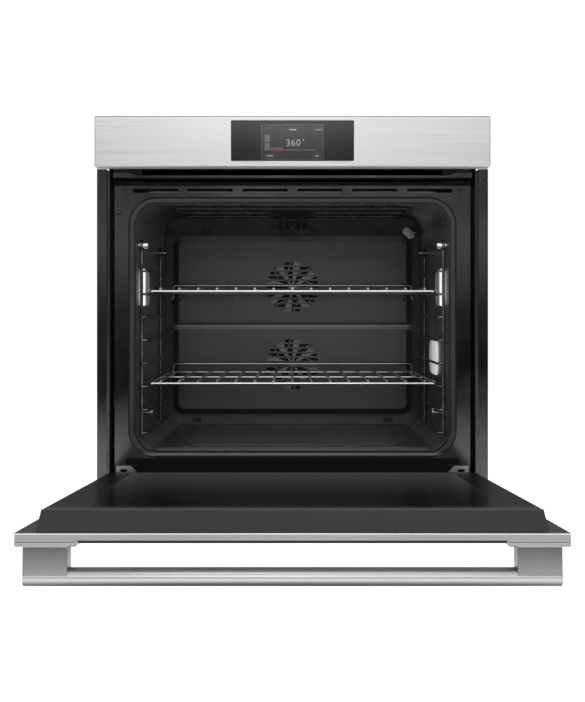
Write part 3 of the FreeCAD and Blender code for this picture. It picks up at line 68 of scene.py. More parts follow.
class Finish:
    """A material with one Principled shader, its patterns placed in the frame, in metres.

    base is the colour socket of a finish that others mask and recolour."""

    def __init__(self, name, colour, rough, sockets=None):
        self.base = None
        self.material = bpy.data.materials.new(name)
        self.material.use_nodes = True
        self.tree = self.material.node_tree
        self.shader = self.tree.nodes["Principled BSDF"]
        self.place = self.make("TexCoord").outputs["Object"]
        self.normal = None
        self.fixed("Base Color", (*colour, 1))
        self.fixed("Roughness", rough)
        for socket, value in (sockets or {}).items():
            self.fixed(socket, value)

    def make(self, kind, **settings):
        """A new node of that kind."""
        made = self.tree.nodes.new("ShaderNode" + kind)
        for key, value in settings.items():
            setattr(made, key, value)
        return made

    def fixed(self, socket, value):
        """Sets one of the shader's inputs."""
        self.shader.inputs[socket].default_value = value

    def feed(self, made, inputs):
        """Sets or links a node's inputs by name or number."""
        for key, value in inputs.items():
            if isinstance(value, bpy.types.NodeSocket):
                self.tree.links.new(value, made.inputs[key])
            else:
                made.inputs[key].default_value = value

    def drive(self, socket, source):
        """Links a pattern to one of the shader's inputs."""
        self.tree.links.new(source, self.shader.inputs[socket])

    def scaled(self, per_metre, turn=(0, 0, 0)):
        """The place on the object, scaled and turned for a pattern."""
        spot = self.make("Mapping")
        self.feed(spot, {"Vector": self.place, "Scale": per_metre, "Rotation": turn})
        return spot.outputs["Vector"]

    def noise(self, per_metre, detail=3.0, turn=(0, 0, 0)):
        """Cloudy pattern from 0 to 1 with so many features per metre along each axis."""
        made = self.make("TexNoise")
        self.feed(made, {"Vector": self.scaled(per_metre, turn), "Scale": 1.0, "Detail": detail})
        return made.outputs["Fac"]

    def cells(self, per_metre, output="Distance"):
        """Grain-like cells, so many per metre along each axis."""
        made = self.make("TexVoronoi")
        self.feed(made, {"Vector": self.scaled(per_metre), "Scale": 1.0})
        return made.outputs[output]

    def waves(self, per_metre, turn=(0, 0, 0)):
        """Even parallel ribs, from 0 to 1, across X until turned."""
        made = self.make("TexWave", wave_type="BANDS", bands_direction="X", wave_profile="SIN")
        self.feed(made, {"Vector": self.scaled((per_metre,) * 3, turn), "Scale": 1 / (2 * math.pi),
                         "Distortion": 0.0})
        return made.outputs["Fac"]

    def math(self, operation, first, second=0.0):
        """One sum on two values."""
        made = self.make("Math", operation=operation)
        self.feed(made, {0: first, 1: second})
        return made.outputs[0]

    def span(self, source, low, high, start, end):
        """Source from low to high becomes start to end, clamped."""
        made = self.make("MapRange", clamp=True)
        self.feed(made, {"Value": source, "From Min": low, "From Max": high, "To Min": start, "To Max": end})
        return made.outputs["Result"]

    def mixed(self, amount, first, second):
        """First where amount is 0, second where it is 1."""
        made = self.make("Mix", data_type="RGBA")
        first, second = (c if isinstance(c, bpy.types.NodeSocket) else (*c, 1) for c in (first, second))
        self.feed(made, {0: amount, 6: first, 7: second})
        return made.outputs[2]

    def colour(self, amount, first, second):
        """Drives the shader's colour with a mix, and hands the mix back."""
        made = self.mixed(amount, first, second)
        self.drive("Base Color", made)
        return made

    def bump(self, height, depth):
        """Adds relief of so many metres to what is already there."""
        made = self.make("Bump")
        self.feed(made, {"Height": height, "Distance": depth, "Strength": 1.0})
        if self.normal:
            self.feed(made, {"Normal": self.normal})
        self.normal = made.outputs["Normal"]
        self.drive("Normal", self.normal)

    def axis(self, letter):
        """The place along X, Y or Z, in metres."""
        made = self.make("SeparateXYZ")
        self.feed(made, {0: self.place})
        return made.outputs[letter]

    def inside(self, letter, low, high, edge=0.0005):
        """1 between two places along an axis, 0 outside."""
        along = self.axis(letter)
        over = self.span(along, low - edge, low + edge, 0.0, 1.0)
        under = self.span(along, high - edge, high + edge, 1.0, 0.0)
        return self.math("MULTIPLY", over, under)


def tone(colour, factor):
    """A colour made darker or lighter."""
    return tuple(min(1.0, c * factor) for c in colour)


# ------------------------------------------------------------------ finishes

def stainless(name="stainless", shade=0.60):
    """Brushed stainless steel with its grain along X."""
    steel = (shade, shade * 0.998, shade * 0.995)
    made = Finish(name, steel, 0.3, {"Metallic": 1.0})
    fine = made.noise((5, 1500, 1500), 2.0)
    streaks = made.noise((1.4, 210, 210), 4.0)
    cloud = made.noise((3.5, 3.5, 3.5), 2.0)
    grain = made.math("ADD", made.math("MULTIPLY", fine, 0.45), made.math("MULTIPLY", streaks, 0.55))
    made.base = made.colour(made.span(grain, 0.34, 0.66, 0.0, 1.0), tone(steel, 0.93), tone(steel, 1.06))
    rough = made.span(grain, 0.3, 0.7, 0.24, 0.36)
    made.drive("Roughness", made.math("ADD", rough, made.span(cloud, 0.35, 0.65, -0.02, 0.03)))
    made.bump(fine, 0.008 * MM)
    made.bump(streaks, 0.006 * MM)
    return made


def door_skin():
    """The door's stainless pan, black inside the rim; its front edge is a darker plain grey as painted shade, and
    black along the lower half of that edge as painted shade of the recess beneath.
    """
    made = stainless("door_skin_steel")
    low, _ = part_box("door_outer_skin")
    lean = math.tan(math.radians(90 - DOOR_ANGLE))
    height = made.math("ADD", made.axis("Z"), made.math("MULTIPLY", made.axis("Y"), lean))
    behind_edge = made.span(made.axis("Y"), low.y + 0.84 * MM, low.y + 1.14 * MM, 0.0, 1.0)
    inner = made.math("MULTIPLY", made.span(height, 5.0 * MM, 5.2 * MM, 0.0, 1.0), behind_edge)
    # painted shade: black along the lower half of the front edge, for the recess beneath it
    recess_shade = made.math("MULTIPLY", made.inside("X", -RECESS_SHADE_HALF, RECESS_SHADE_HALF),
                     made.span(height, -4.1 * MM, -3.7 * MM, 1.0, 0.0))
    before_fold = made.span(made.axis("Y"), low.y + 1.04 * MM, low.y + 1.44 * MM, 1.0, 0.0)
    edge = made.math("MULTIPLY", recess_shade, before_fold)
    dark = made.math("MAXIMUM", inner, edge)
    # painted shade: the front edge face is a darker plain grey than the brushed steel
    brushed = made.mixed(behind_edge, (0.47, 0.47, 0.468), made.base)
    made.colour(dark, brushed, (0.010, 0.010, 0.0103))
    made.drive("Metallic", made.span(dark, 0.0, 1.0, 1.0, 0.0))
    return made


def panel_steel():
    """The control panel's brushed steel; its underside is a plain pale grey with little metal shine, as painted
    light.
    """
    made = stainless("panel_steel")
    low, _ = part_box("control_panel_fascia")
    # painted light: the underside is pale and mostly not metal, so it shows lighter
    under = made.span(made.axis("Z"), low.z + 0.3 * MM, low.z + 0.9 * MM, 1.0, 0.0)
    made.colour(under, made.base, (0.62, 0.62, 0.618))
    made.drive("Metallic", made.span(under, 0.0, 1.0, 1.0, 0.15))
    return made


def enamel(name, colour, rough, speck, ripple=0.01 * MM):
    """Vitreous enamel: glassy, faintly rippled, with fine pale specks."""
    made = Finish(name, colour, rough, {"IOR": 1.52})
    dots = made.span(made.cells((700, 700, 700)), 0.1, 0.2, 1.0, 0.0)
    where = made.span(made.noise((900, 900, 900), 0.0), 0.56, 0.62, 0.0, 1.0)
    cloud = made.noise((9, 9, 9), 3.0)
    base = made.mixed(made.span(cloud, 0.3, 0.7, 0.0, 1.0), tone(colour, 0.86), tone(colour, 1.12))
    made.base = made.colour(made.math("MULTIPLY", dots, where), base, speck)
    made.drive("Roughness", made.span(cloud, 0.3, 0.7, rough - 0.04, rough + 0.05))
    made.bump(made.noise((140, 140, 140), 2.0), ripple)
    return made


def cavity_enamel(name, shade=0.044):
    """The greyer enamel inside the cavity."""
    return enamel(name, (shade, shade + 0.0003, shade + 0.001), 0.3, (0.2, 0.203, 0.21))


def wrapper_enamel():
    """Cavity walls, in a lighter copy of the cavity enamel as painted light: painted shade on the rear ceiling,
    painted light on the sill and painted shade along the front fold.
    """
    # painted light: the walls take a paler enamel than the rear wall and the fan cover
    made = cavity_enamel("wrapper_enamel", 0.080)
    low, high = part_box("cavity_wrapper")
    # painted shade on the rear of the ceiling
    ceiling = made.math("MULTIPLY", made.span(made.axis("Z"), high.z - 57 * MM, high.z - 17 * MM, 0.0, 1.0),
                        made.span(made.axis("Y"), 150 * MM, 330 * MM, 0.0, 1.0))
    shaded = made.mixed(ceiling, made.base, (0.018, 0.018, 0.0182))
    # painted light along the sill
    sill = made.math("MULTIPLY", made.span(made.axis("Z"), low.z + 26 * MM, low.z + 34 * MM, 1.0, 0.0),
                     made.span(made.axis("Y"), low.y + 18 * MM, low.y + 42 * MM, 1.0, 0.0))
    wear_and_light = made.mixed(sill, shaded, (0.15, 0.15, 0.151))
    # painted shade along the front fold
    made.colour(made.span(made.axis("Y"), low.y + 2 * MM, low.y + 2.6 * MM, 1.0, 0.0), wear_and_light,
                (0.006, 0.006, 0.0061))
    return made


def cover_enamel():
    """Fan cover, with painted light on its fold and its bevelled top, and a painted highlight along the crease."""
    made = cavity_enamel("cover_enamel")
    low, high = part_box("fan_cover")
    inset = made.span(made.axis("Y"), low.y + 0.3 * MM, low.y + 0.6 * MM, 0.0, 1.0)
    # painted light on both slopes of the fold, with a painted highlight on the crease between them
    fold, crease, brow = (
        made.math("MULTIPLY", made.inside("Z", FOLD_HEIGHT + bottom * MM, FOLD_HEIGHT + top * MM), inset)
        for bottom, top in ((-10, 1), (-1, 1), (1, 10)))
    # painted light on the bevelled top
    bevel = made.span(made.axis("Z"), high.z - 14 * MM, high.z - 13.4 * MM, 0.0, 1.0)
    faced = made.mixed(bevel, made.base, (0.085, 0.085, 0.086))
    folded = made.mixed(fold, faced, (0.19, 0.19, 0.192))
    creased = made.mixed(brow, folded, (0.06, 0.06, 0.061))
    made.colour(crease, creased, (0.33, 0.33, 0.332))
    return made


def floor_enamel():
    """Cavity floor, with painted light along its front."""
    made = cavity_enamel("floor_enamel", 0.055)
    low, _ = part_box("cavity_floor_panel")
    # painted light: paler along the front
    front = made.span(made.axis("Y"), low.y + 30 * MM, low.y + 52 * MM, 1.0, 0.0)
    made.colour(front, made.base, (0.16, 0.16, 0.162))
    return made


def rear_enamel():
    """Rear wall, with painted shade above the fan cover."""
    made = cavity_enamel("rear_enamel")
    _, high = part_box("fan_cover")
    # painted shade above the fan cover
    shade_above_cover = made.span(made.axis("Z"), high.z - 15 * MM, high.z + 5 * MM, 0.0, 1.0)
    made.colour(shade_above_cover, made.base, (0.010, 0.010, 0.0102))
    return made


def gloss_black():
    """The near-mirror black of the front frame and the trims."""
    made = enamel("gloss_black", (0.003, 0.003, 0.0031), 0.10, (0.009, 0.009, 0.0095), 0.0008 * MM)
    made.fixed("IOR", 1.85)
    return made


def black_paint():
    """Satin powder coat with its fine orange peel."""
    dark = (0.017, 0.017, 0.018)
    made = Finish("black_paint", dark, 0.42, {"IOR": 1.5})
    peel = made.noise((520, 520, 520), 3.0)
    cloud = made.noise((7, 7, 7), 2.0)
    made.colour(made.span(cloud, 0.3, 0.7, 0.0, 1.0), tone(dark, 0.85), tone(dark, 1.25))
    made.drive("Roughness", made.span(peel, 0.3, 0.7, 0.38, 0.5))
    made.bump(peel, 0.03 * MM)
    return made


def satin_trim(name="satin_trim", shade=0.062):
    """Dark satin moulding along the door's top."""
    grey = (shade, shade, shade * 1.02)
    made = Finish(name, grey, 0.5)
    grain = made.noise((1100, 1100, 1100), 2.0)
    cloud = made.noise((5, 5, 5), 3.0)
    made.colour(made.span(cloud, 0.3, 0.7, 0.0, 1.0), tone(grey, 0.92), tone(grey, 1.1))
    made.drive("Roughness", made.span(grain, 0.3, 0.7, 0.42, 0.55))
    made.bump(grain, 0.012 * MM)
    return made


def galvanised(name="galvanised", shade_depth=50 * MM):
    """Zinc-coated sheet with frosted spangle, black over its front part as painted shade of the gaps there."""
    zinc = (0.50, 0.51, 0.52)
    made = Finish(name, zinc, 0.42, {"Metallic": 1.0})
    leaf = made.make("SeparateColor")
    made.feed(leaf, {0: made.cells((75, 75, 75), "Color")})
    flake = leaf.outputs[0]
    frost = made.noise((340, 340, 340), 4.0)
    dull = made.noise((5, 5, 5), 3.0)
    spangle = made.math("ADD", made.math("MULTIPLY", flake, 0.7), made.math("MULTIPLY", frost, 0.3))
    shade = made.mixed(spangle, tone(zinc, 0.82), tone(zinc, 1.12))
    wear_and_light = made.mixed(made.span(dull, 0.45, 0.75, 0.0, 0.35), shade, (0.36, 0.365, 0.37))
    # painted shade: black over the front part, bare zinc behind
    bare = made.span(made.axis("Y"), shade_depth, shade_depth + 2 * MM, 0.0, 1.0)
    made.colour(bare, (0.004, 0.004, 0.004), wear_and_light)
    made.drive("Metallic", bare)
    made.drive("Roughness", made.span(spangle, 0.1, 0.9, 0.34, 0.56))
    made.bump(frost, 0.02 * MM)
    return made


def zinc_steel():
    """Bright zinc plate with a faint warm and blue passivate."""
    made = Finish("zinc_steel", (0.60, 0.60, 0.57), 0.3, {"Metallic": 1.0})
    hue = made.span(made.noise((60, 60, 60), 2.0), 0.35, 0.65, 0.0, 1.0)
    made.colour(hue, (0.62, 0.59, 0.51), (0.55, 0.58, 0.62))
    scuff = made.noise((700, 160, 700), 3.0)
    made.drive("Roughness", made.span(scuff, 0.3, 0.7, 0.22, 0.42))
    made.bump(scuff, 0.012 * MM)
    return made


def chrome_wire():
    """Bright chromium plate, faintly straw-coloured where it has been hot, and darker towards the back of the
    cavity as painted shade.
    """
    made = Finish("chrome_wire", (0.78, 0.78, 0.785), 0.12, {"Metallic": 1.0})
    heat = made.span(made.noise((16, 16, 16), 3.0), 0.5, 0.75, 0.0, 1.0)
    bright = made.mixed(heat, (0.79, 0.79, 0.795), (0.70, 0.675, 0.62))
    # painted shade: darker towards the back of the cavity
    made.colour(made.span(made.axis("Y"), 60 * MM, 400 * MM, 0.0, 1.0), bright, (0.36, 0.355, 0.35))
    made.drive("Roughness", made.span(made.noise((260, 260, 260), 3.0), 0.3, 0.7, 0.08, 0.2))
    return made


def dark_wire():
    """Nickel-plated wire, mottled, in a darker copy of the rack chrome as painted shade for the dark walls it
    mirrors.
    """
    # painted shade: a darker copy of the rack chrome
    made = Finish("dark_wire", (0.16, 0.158, 0.155), 0.2, {"Metallic": 1.0})
    heat = made.span(made.noise((40, 40, 40), 3.0), 0.35, 0.65, 0.0, 1.0)
    made.colour(heat, (0.10, 0.098, 0.096), (0.24, 0.235, 0.23))
    made.drive("Roughness", made.span(made.noise((300, 300, 300), 3.0), 0.3, 0.7, 0.14, 0.28))
    return made


def black_screw():
    """Black-oxide steel with bare glints where the driver has rubbed."""
    made = Finish("black_screw", (0.02, 0.02, 0.021), 0.35, {"Metallic": 0.7})
    rub = made.span(made.noise((500, 500, 500), 3.0), 0.6, 0.7, 0.0, 1.0)
    made.colour(rub, (0.02, 0.02, 0.021), (0.16, 0.16, 0.165))
    made.drive("Roughness", made.span(rub, 0.0, 1.0, 0.38, 0.25))
    return made


def cast_stainless():
    """Bead-blasted stainless brackets: finely mottled, darker than the skin, lighter towards the bar as a painted
    reflection, brighter on their foot.
    """
    grey = (0.36, 0.36, 0.358)
    made = Finish("cast_stainless", grey, 0.42, {"Metallic": 1.0})
    speckle = made.noise((900, 700, 900), 3.0)
    cloud = made.noise((60, 60, 60), 3.0)
    # painted reflection: lighter towards the bar than towards the door
    rise = made.span(made.axis("Z"), -14 * MM, 26 * MM, 1.0, 0.0)
    foot = made.span(made.axis("Z"), 24.6 * MM, 25.4 * MM, 0.0, 1.0)
    low = made.mixed(foot, made.mixed(rise, tone(grey, 0.38), tone(grey, 0.92)), tone(grey, 1.2))
    high = made.mixed(foot, made.mixed(rise, tone(grey, 0.46), tone(grey, 1.05)), tone(grey, 1.3))
    mottle = made.math("ADD", made.math("MULTIPLY", speckle, 0.6), made.math("MULTIPLY", cloud, 0.4))
    made.colour(made.span(mottle, 0.35, 0.65, 0.0, 1.0), low, high)
    made.drive("Roughness", made.span(mottle, 0.3, 0.7, 0.34, 0.5))
    made.bump(speckle, 0.03 * MM)
    return made


def heater_metal():
    """Nickel-alloy sheath, dark and blotched with oxide."""
    made = Finish("heater_metal", (0.03, 0.029, 0.028), 0.45, {"Metallic": 0.6})
    oxide = made.span(made.noise((70, 70, 70), 4.0), 0.35, 0.68, 0.0, 1.0)
    made.colour(oxide, (0.040, 0.038, 0.037), (0.016, 0.015, 0.014))
    made.drive("Roughness", made.span(made.noise((420, 420, 420), 3.0), 0.3, 0.7, 0.34, 0.6))
    made.bump(made.noise((900, 900, 900), 2.0), 0.03 * MM)
    return made


def seal():
    """Braided glass-fibre door seal, with a painted highlight along its lower run."""
    made = Finish("seal", (0.03, 0.03, 0.031), 0.4,
                  {"Sheen Weight": 0.02, "Sheen Roughness": 0.4, "Specular IOR Level": 0.4})
    braid = made.math("MAXIMUM", made.waves(2600, (0, 0.9, 0)), made.waves(2600, (0, -0.9, 0)))
    dust = made.noise((120, 120, 120), 3.0)
    yarn = made.mixed(made.math("MULTIPLY", braid, made.span(dust, 0.3, 0.7, 0.6, 1.0)),
                      (0.012, 0.012, 0.0125), (0.03, 0.03, 0.031))
    # painted highlight: a paler band along the lower run of the seal
    made.colour(made.inside("Z", 61.5 * MM, 66.4 * MM), yarn, (0.13, 0.13, 0.131))
    made.drive("Roughness", made.span(dust, 0.3, 0.7, 0.26, 0.4))
    made.bump(braid, 0.05 * MM)
    return made


def fan_steel():
    """Pressed fan wheel: its disc darkened as painted shade behind the cover, lighter in eight sectors, with
    bright edges on its blades.
    """
    made = Finish("fan_steel", (0.3, 0.3, 0.3), 0.3, {"Metallic": 1.0})
    sectors = 8.0
    low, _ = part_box("fan_wheel_lower")
    fan_mottle = made.span(made.noise((90, 90, 90), 4.0), 0.35, 0.65, 0.0, 1.0)
    blade = made.span(made.axis("Y"), low.y + 10.6 * MM, low.y + 12.2 * MM, 1.0, 0.0)
    bright = made.mixed(fan_mottle, (0.42, 0.42, 0.42), (0.30, 0.30, 0.30))
    between = sum(FAN_AXLES) / 2
    axle = made.span(made.axis("Z"), between - 1 * MM, between + 1 * MM, *FAN_AXLES)
    turn = made.math("ARCTAN2", made.axis("X"), made.math("SUBTRACT", made.axis("Z"), axle))
    sector_band = made.span(made.math("SINE", made.math("MULTIPLY", turn, sectors)), 0.15, 0.5, 0.0, 1.0)
    # painted shade: the disc behind the blade edges is darkened, lighter in eight sectors
    shaded_disc = made.mixed(fan_mottle, (0.012, 0.012, 0.012), (0.03, 0.03, 0.03))
    made.colour(blade, made.mixed(sector_band, shaded_disc, (0.34, 0.34, 0.34)), bright)
    made.drive("Roughness", made.span(fan_mottle, 0.0, 1.0, 0.28, 0.45))
    return made


def plain_metal(name, colour, rough):
    """Pressed sheet metal with rolling marks and fine scuffs."""
    made = Finish(name, colour, rough, {"Metallic": 1.0})
    rolled = made.noise((12, 900, 12), 3.0)
    scuff = made.noise((240, 240, 240), 4.0)
    made.colour(made.span(rolled, 0.3, 0.7, 0.0, 1.0), tone(colour, 0.88), tone(colour, 1.08))
    made.drive("Roughness", made.span(scuff, 0.3, 0.7, rough - 0.08, rough + 0.1))
    made.bump(rolled, 0.01 * MM)
    return made


def dark_plastic():
    """Fine-grained moulded plastic."""
    made = Finish("dark_plastic", (0.02, 0.02, 0.021), 0.5)
    grain = made.noise((1400, 1400, 1400), 2.0)
    made.colour(made.span(grain, 0.3, 0.7, 0.0, 1.0), (0.014, 0.014, 0.015), (0.03, 0.03, 0.031))
    made.drive("Roughness", made.span(grain, 0.3, 0.7, 0.42, 0.58))
    made.bump(grain, 0.025 * MM)
    return made


def circuit_board():
    """Green solder mask over copper tracks."""
    made = Finish("circuit_board", (0.012, 0.10, 0.05), 0.35)
    lanes = made.span(made.waves(2200), 0.62, 0.7, 0.0, 1.0)
    across = made.span(made.waves(1700, (0, math.pi / 2, 0)), 0.7, 0.78, 0.0, 1.0)
    patches = made.span(made.noise((45, 45, 45), 1.0), 0.5, 0.54, 0.0, 1.0)
    tracks = made.mixed(patches, *(made.mixed(run, (0, 0, 0), (1, 1, 1)) for run in (lanes, across)))
    made.colour(tracks, (0.010, 0.085, 0.042), (0.02, 0.16, 0.075))
    made.bump(tracks, 0.03 * MM)
    return made


def insulation():
    """Glass-fibre felt, dark over its front edge as painted shade."""
    made = Finish("insulation", (0.66, 0.60, 0.42), 0.95, {"Sheen Weight": 0.3})
    fibre = made.noise((60, 60, 900), 5.0)
    lumps = made.noise((45, 45, 45), 3.0)
    felt = made.mixed(made.span(fibre, 0.3, 0.7, 0.0, 1.0), (0.52, 0.46, 0.30), (0.78, 0.73, 0.56))
    # painted shade: dark over the front edge
    made.colour(made.span(made.axis("Y"), 110 * MM, 114 * MM, 0.0, 1.0), (0.06, 0.06, 0.06), felt)
    made.bump(lumps, 2.5 * MM)
    made.bump(fibre, 0.4 * MM)
    return made


def clear_glass():
    """Float glass with a faint greasy film."""
    made = Finish("clear_glass", (0.80, 0.88, 0.85), 0.02, {"Transmission Weight": 1.0, "IOR": 1.5})
    film = made.noise((30, 30, 30), 3.0)
    made.drive("Roughness", made.span(film, 0.4, 0.7, 0.01, 0.05))
    return made


def door_glass(name, node, half_width, hinge_margin, handle_margin, ground, clear):
    """Coated door glass: a tinted window inside a black ceramic border, with a ground front edge.

    The haze stands for the cavity mirrored in the glass, stronger towards the hinge."""
    made = Finish(name, (0.02, 0.02, 0.022), 0.08, {"IOR": 1.5, "Specular IOR Level": 0.05})
    low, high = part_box(node)
    handle_side = low.y + handle_margin
    window = made.math("MULTIPLY", made.inside("X", -half_width, half_width),
                       made.inside("Y", handle_side, high.y - hinge_margin))
    smear = made.noise((6, 6, 6), 2.0)
    tint = made.mixed(made.span(smear, 0.3, 0.7, 0.0, 1.0), (0.003, 0.0031, 0.0032), (0.005, 0.0052, 0.0054))
    haze = made.span(made.axis("Y"), -480 * MM, -40 * MM, 0.0, 1.0)
    # painted light: the border is lighter along the handle edge
    hem = made.span(made.axis("Y"), handle_side - 3 * MM, handle_side, 1.0, 0.0)
    printed = made.mixed(haze, (0.011, 0.011, 0.0112), (0.013, 0.013, 0.0133))
    border = made.mixed(hem, printed, (0.028, 0.028, 0.0285))
    hazed = made.mixed(made.math("POWER", haze, 1.8), tint, (0.18, 0.18, 0.182))
    pane = made.mixed(window, border, hazed)
    edge = low.y + ground
    rib = made.inside("Y", edge + 12.5 * MM, edge + 16.5 * MM)
    made.colour(made.span(made.axis("Y"), edge, edge + 0.5 * MM, 1.0, 0.0),
                made.mixed(rib, pane, (0.2, 0.2, 0.201)), (0.11, 0.115, 0.115))
    made.drive("Transmission Weight", made.math("MULTIPLY", window, clear))
    made.drive("Roughness", made.mixed(window, (0.3, 0.3, 0.3), made.span(smear, 0.2, 0.8, 0.19, 0.23)))
    return made


def display_glass(half_width, low, high):
    """Gloss glass, printed black behind except over the screen."""
    made = Finish("black_glass", (0.010, 0.010, 0.011), 0.04, {"IOR": 1.40})
    window = made.math("MULTIPLY", made.inside("X", -half_width, half_width), made.inside("Z", low, high))
    smear = made.span(made.noise((25, 25, 25), 4.0), 0.35, 0.7, 0.0, 1.0)
    made.colour(window, (0.010, 0.010, 0.011), (0.5, 0.505, 0.52))
    made.drive("Transmission Weight", window)
    made.drive("Roughness", made.span(smear, 0.0, 1.0, 0.03, 0.09))
    return made


def lamp_glass():
    """Pressed lamp glass, lit from behind, with fine prism ribs."""
    made = Finish("lamp_glass", (0.9, 0.9, 0.88), 0.25, {"IOR": 1.5, "Coat Weight": 0.4})
    ribs = made.waves(1250, (0, math.pi / 2, 0))
    made.colour(made.span(ribs, 0.0, 1.0, 0.0, 1.0), (0.16, 0.16, 0.158), (0.22, 0.22, 0.217))
    made.drive("Emission Color", made.mixed(ribs, (0.72, 0.71, 0.69), (1.0, 0.99, 0.97)))
    upper = made.span(made.axis("Y"), 100 * MM, 122 * MM, LAMP_GLOW, 0.10)
    lower = made.span(made.axis("Y"), 205 * MM, 240 * MM, LAMP_GLOW * 0.5, 0.35)
    made.drive("Emission Strength", made.mixed(made.inside("Z", 100 * MM, 300 * MM), upper, lower))
    made.bump(ribs, 0.25 * MM)
    return made


def lit(name, colour, strength):
    """Screen ink: a lit layer with a slight pixel grid."""
    made = Finish(name, colour, 0.4)
    grid = made.math("MULTIPLY", made.waves(12000), made.waves(12000, (0, math.pi / 2, 0)))
    made.drive("Emission Color", made.mixed(made.span(grid, 0.0, 1.0, 0.75, 1.0), tone(colour, 0.8), colour))
    made.fixed("Emission Strength", strength)
    return made


# ------------------------------------------------------------------ stage, light and camera

SKY_LOW, SKY_HIGH = -0.2, 1.0
SKY_BANDS = (       # how high, as the sine of the elevation, and how bright
    (-0.2, 0.01), (-0.04, 0.03), (0.0, 0.16), (0.035, 0.50), (0.065, 0.82), (0.085, 0.55),
    (0.115, 0.15), (0.145, 0.55), (0.19, 2.1), (0.30, 1.9), (0.5, 0.8), (0.8, 0.3),
)
SKY_MIDDLE, SKY_ASIDE, SKY_BEHIND = 1.7, 0.78, 0.3
SKY_SHOWN = 1.05
FLOOR_LEVEL = -0.85
FLOOR_RADIUS = 13.0
FLOOR_FADE = (-11.5, -6.5)      # the floor goes dark far in front
PATCH_MIDDLE, PATCH_INNER, PATCH_OUTER = (0, -0.3, 0), 0.5, 1.4     # painted shadow: a dimmer floor under the object
CAMERA_PLACE = (0, -2.0193, 0.350)
CAMERA_LENS, CAMERA_SHIFT = 53.52, -0.062


def surroundings():
    """Studio sky: white where the camera sees it, a soft glow in bands of height for the rest."""
    world = bpy.data.worlds.new("studio")
    bpy.context.scene.world = world
    world.use_nodes = True
    tree = world.node_tree

    def made(kind, inputs):
        """A new node with its inputs set or linked."""
        new = tree.nodes.new("ShaderNode" + kind)
        for key, value in inputs.items():
            if isinstance(value, bpy.types.NodeSocket):
                tree.links.new(value, new.inputs[key])
            else:
                new.inputs[key].default_value = value
        return new

    toward = made("SeparateXYZ", {0: made("TexCoord", {}).outputs["Generated"]})
    height = made("MapRange", {"Value": toward.outputs["Z"], "From Min": SKY_LOW, "From Max": SKY_HIGH})
    bands = made("ValToRGB", {"Fac": height.outputs["Result"]})
    ramp = bands.color_ramp
    ramp.interpolation = "EASE"
    while len(ramp.elements) < len(SKY_BANDS):
        ramp.elements.new(0.5)
    for spot, (rise, glow) in zip(ramp.elements, SKY_BANDS):
        spot.position = (rise - SKY_LOW) / (SKY_HIGH - SKY_LOW)
        spot.color = (glow, glow, glow, 1)
    aside = made("Math", {0: toward.outputs["X"]})
    aside.operation = "ABSOLUTE"
    fade = made("MapRange", {"Value": aside.outputs[0], "From Min": 0.0, "From Max": 0.17,
                             "To Min": SKY_MIDDLE, "To Max": SKY_ASIDE})
    fade.interpolation_type = "SMOOTHSTEP"
    behind = made("MapRange", {"Value": toward.outputs["Y"], "From Min": -0.2, "From Max": 0.2,
                               "To Min": 1.0, "To Max": SKY_BEHIND})
    level = made("Math", {0: fade.outputs["Result"], 1: behind.outputs["Result"]})
    level.operation = "MULTIPLY"
    lit_sky = made("VectorMath", {0: bands.outputs["Color"]})
    lit_sky.operation = "SCALE"
    tree.links.new(level.outputs[0], lit_sky.inputs["Scale"])
    pick = made("Mix", {0: made("LightPath", {}).outputs["Is Camera Ray"]})
    pick.data_type = "RGBA"
    tree.links.new(lit_sky.outputs[0], pick.inputs[6])
    pick.inputs[7].default_value = (SKY_SHOWN, SKY_SHOWN, SKY_SHOWN, 1)
    tree.links.new(pick.outputs[2], tree.nodes["Background"].inputs["Color"])


def linked(name, data):
    """A new object in the scene."""
    made = bpy.data.objects.new(name, data)
    bpy.context.scene.collection.objects.link(made)
    return made


def softbox(name, place, aim, size, radiance, mirrored=True):
    """A rectangular light whose face shines with the given radiance; unmirrored, it makes no highlight."""
    light = bpy.data.lights.new(name, "AREA")
    light.shape = "RECTANGLE"
    light.size, light.size_y = size
    light.energy = radiance * math.pi * size[0] * size[1]
    made = linked(name, light)
    made.location = place
    made.rotation_euler = (Vector(aim) - Vector(place)).to_track_quat("-Z", "Y").to_euler()
    made.visible_camera = False
    made.visible_glossy = mirrored


def floor():
    """Pale studio floor, a wide disc, softly lit, with a painted shadow just under the object."""
    mesh = bpy.data.meshes.new("studio_floor")
    work = bmesh.new()
    bmesh.ops.create_circle(work, cap_ends=True, segments=96, radius=FLOOR_RADIUS)
    work.to_mesh(mesh)
    work.free()
    made = linked("studio_floor", mesh)
    made.location.z = FLOOR_LEVEL
    pale = Finish("studio_floor", (0.8, 0.8, 0.8), 0.9, {"Specular IOR Level": 0.0})
    pale.fixed("Emission Color", (1, 1, 1, 1))
    away = pale.make("VectorMath", operation="DISTANCE")
    pale.feed(away, {0: pale.place, 1: PATCH_MIDDLE})
    # painted shadow: under the object the floor is greyer and does not glow
    clear = pale.span(away.outputs["Value"], PATCH_INNER, PATCH_OUTER, 0.0, 1.0)
    reach = pale.span(pale.axis("Y"), *FLOOR_FADE, 0.0, 1.0)
    shown = pale.math("MULTIPLY", clear, reach)
    shadowed_floor = pale.mixed(clear, (0.38, 0.38, 0.38), (0.8, 0.8, 0.8))
    pale.colour(reach, (0.02, 0.02, 0.02), shadowed_floor)
    pale.drive("Emission Strength", pale.math("MULTIPLY", shown, 0.97))
    made.data.materials.append(pale.material)


def camera():
    """Level and straight on, a little above the middle of the cavity."""
    data = bpy.data.cameras.new("camera")
    data.lens = CAMERA_LENS
    data.sensor_width = 36.0
    data.shift_y = CAMERA_SHIFT
    data.clip_start, data.clip_end = 0.05, 200
    made = linked("camera", data)
    made.location = CAMERA_PLACE
    made.rotation_euler = (math.pi / 2, 0, 0)
    bpy.context.scene.camera = made


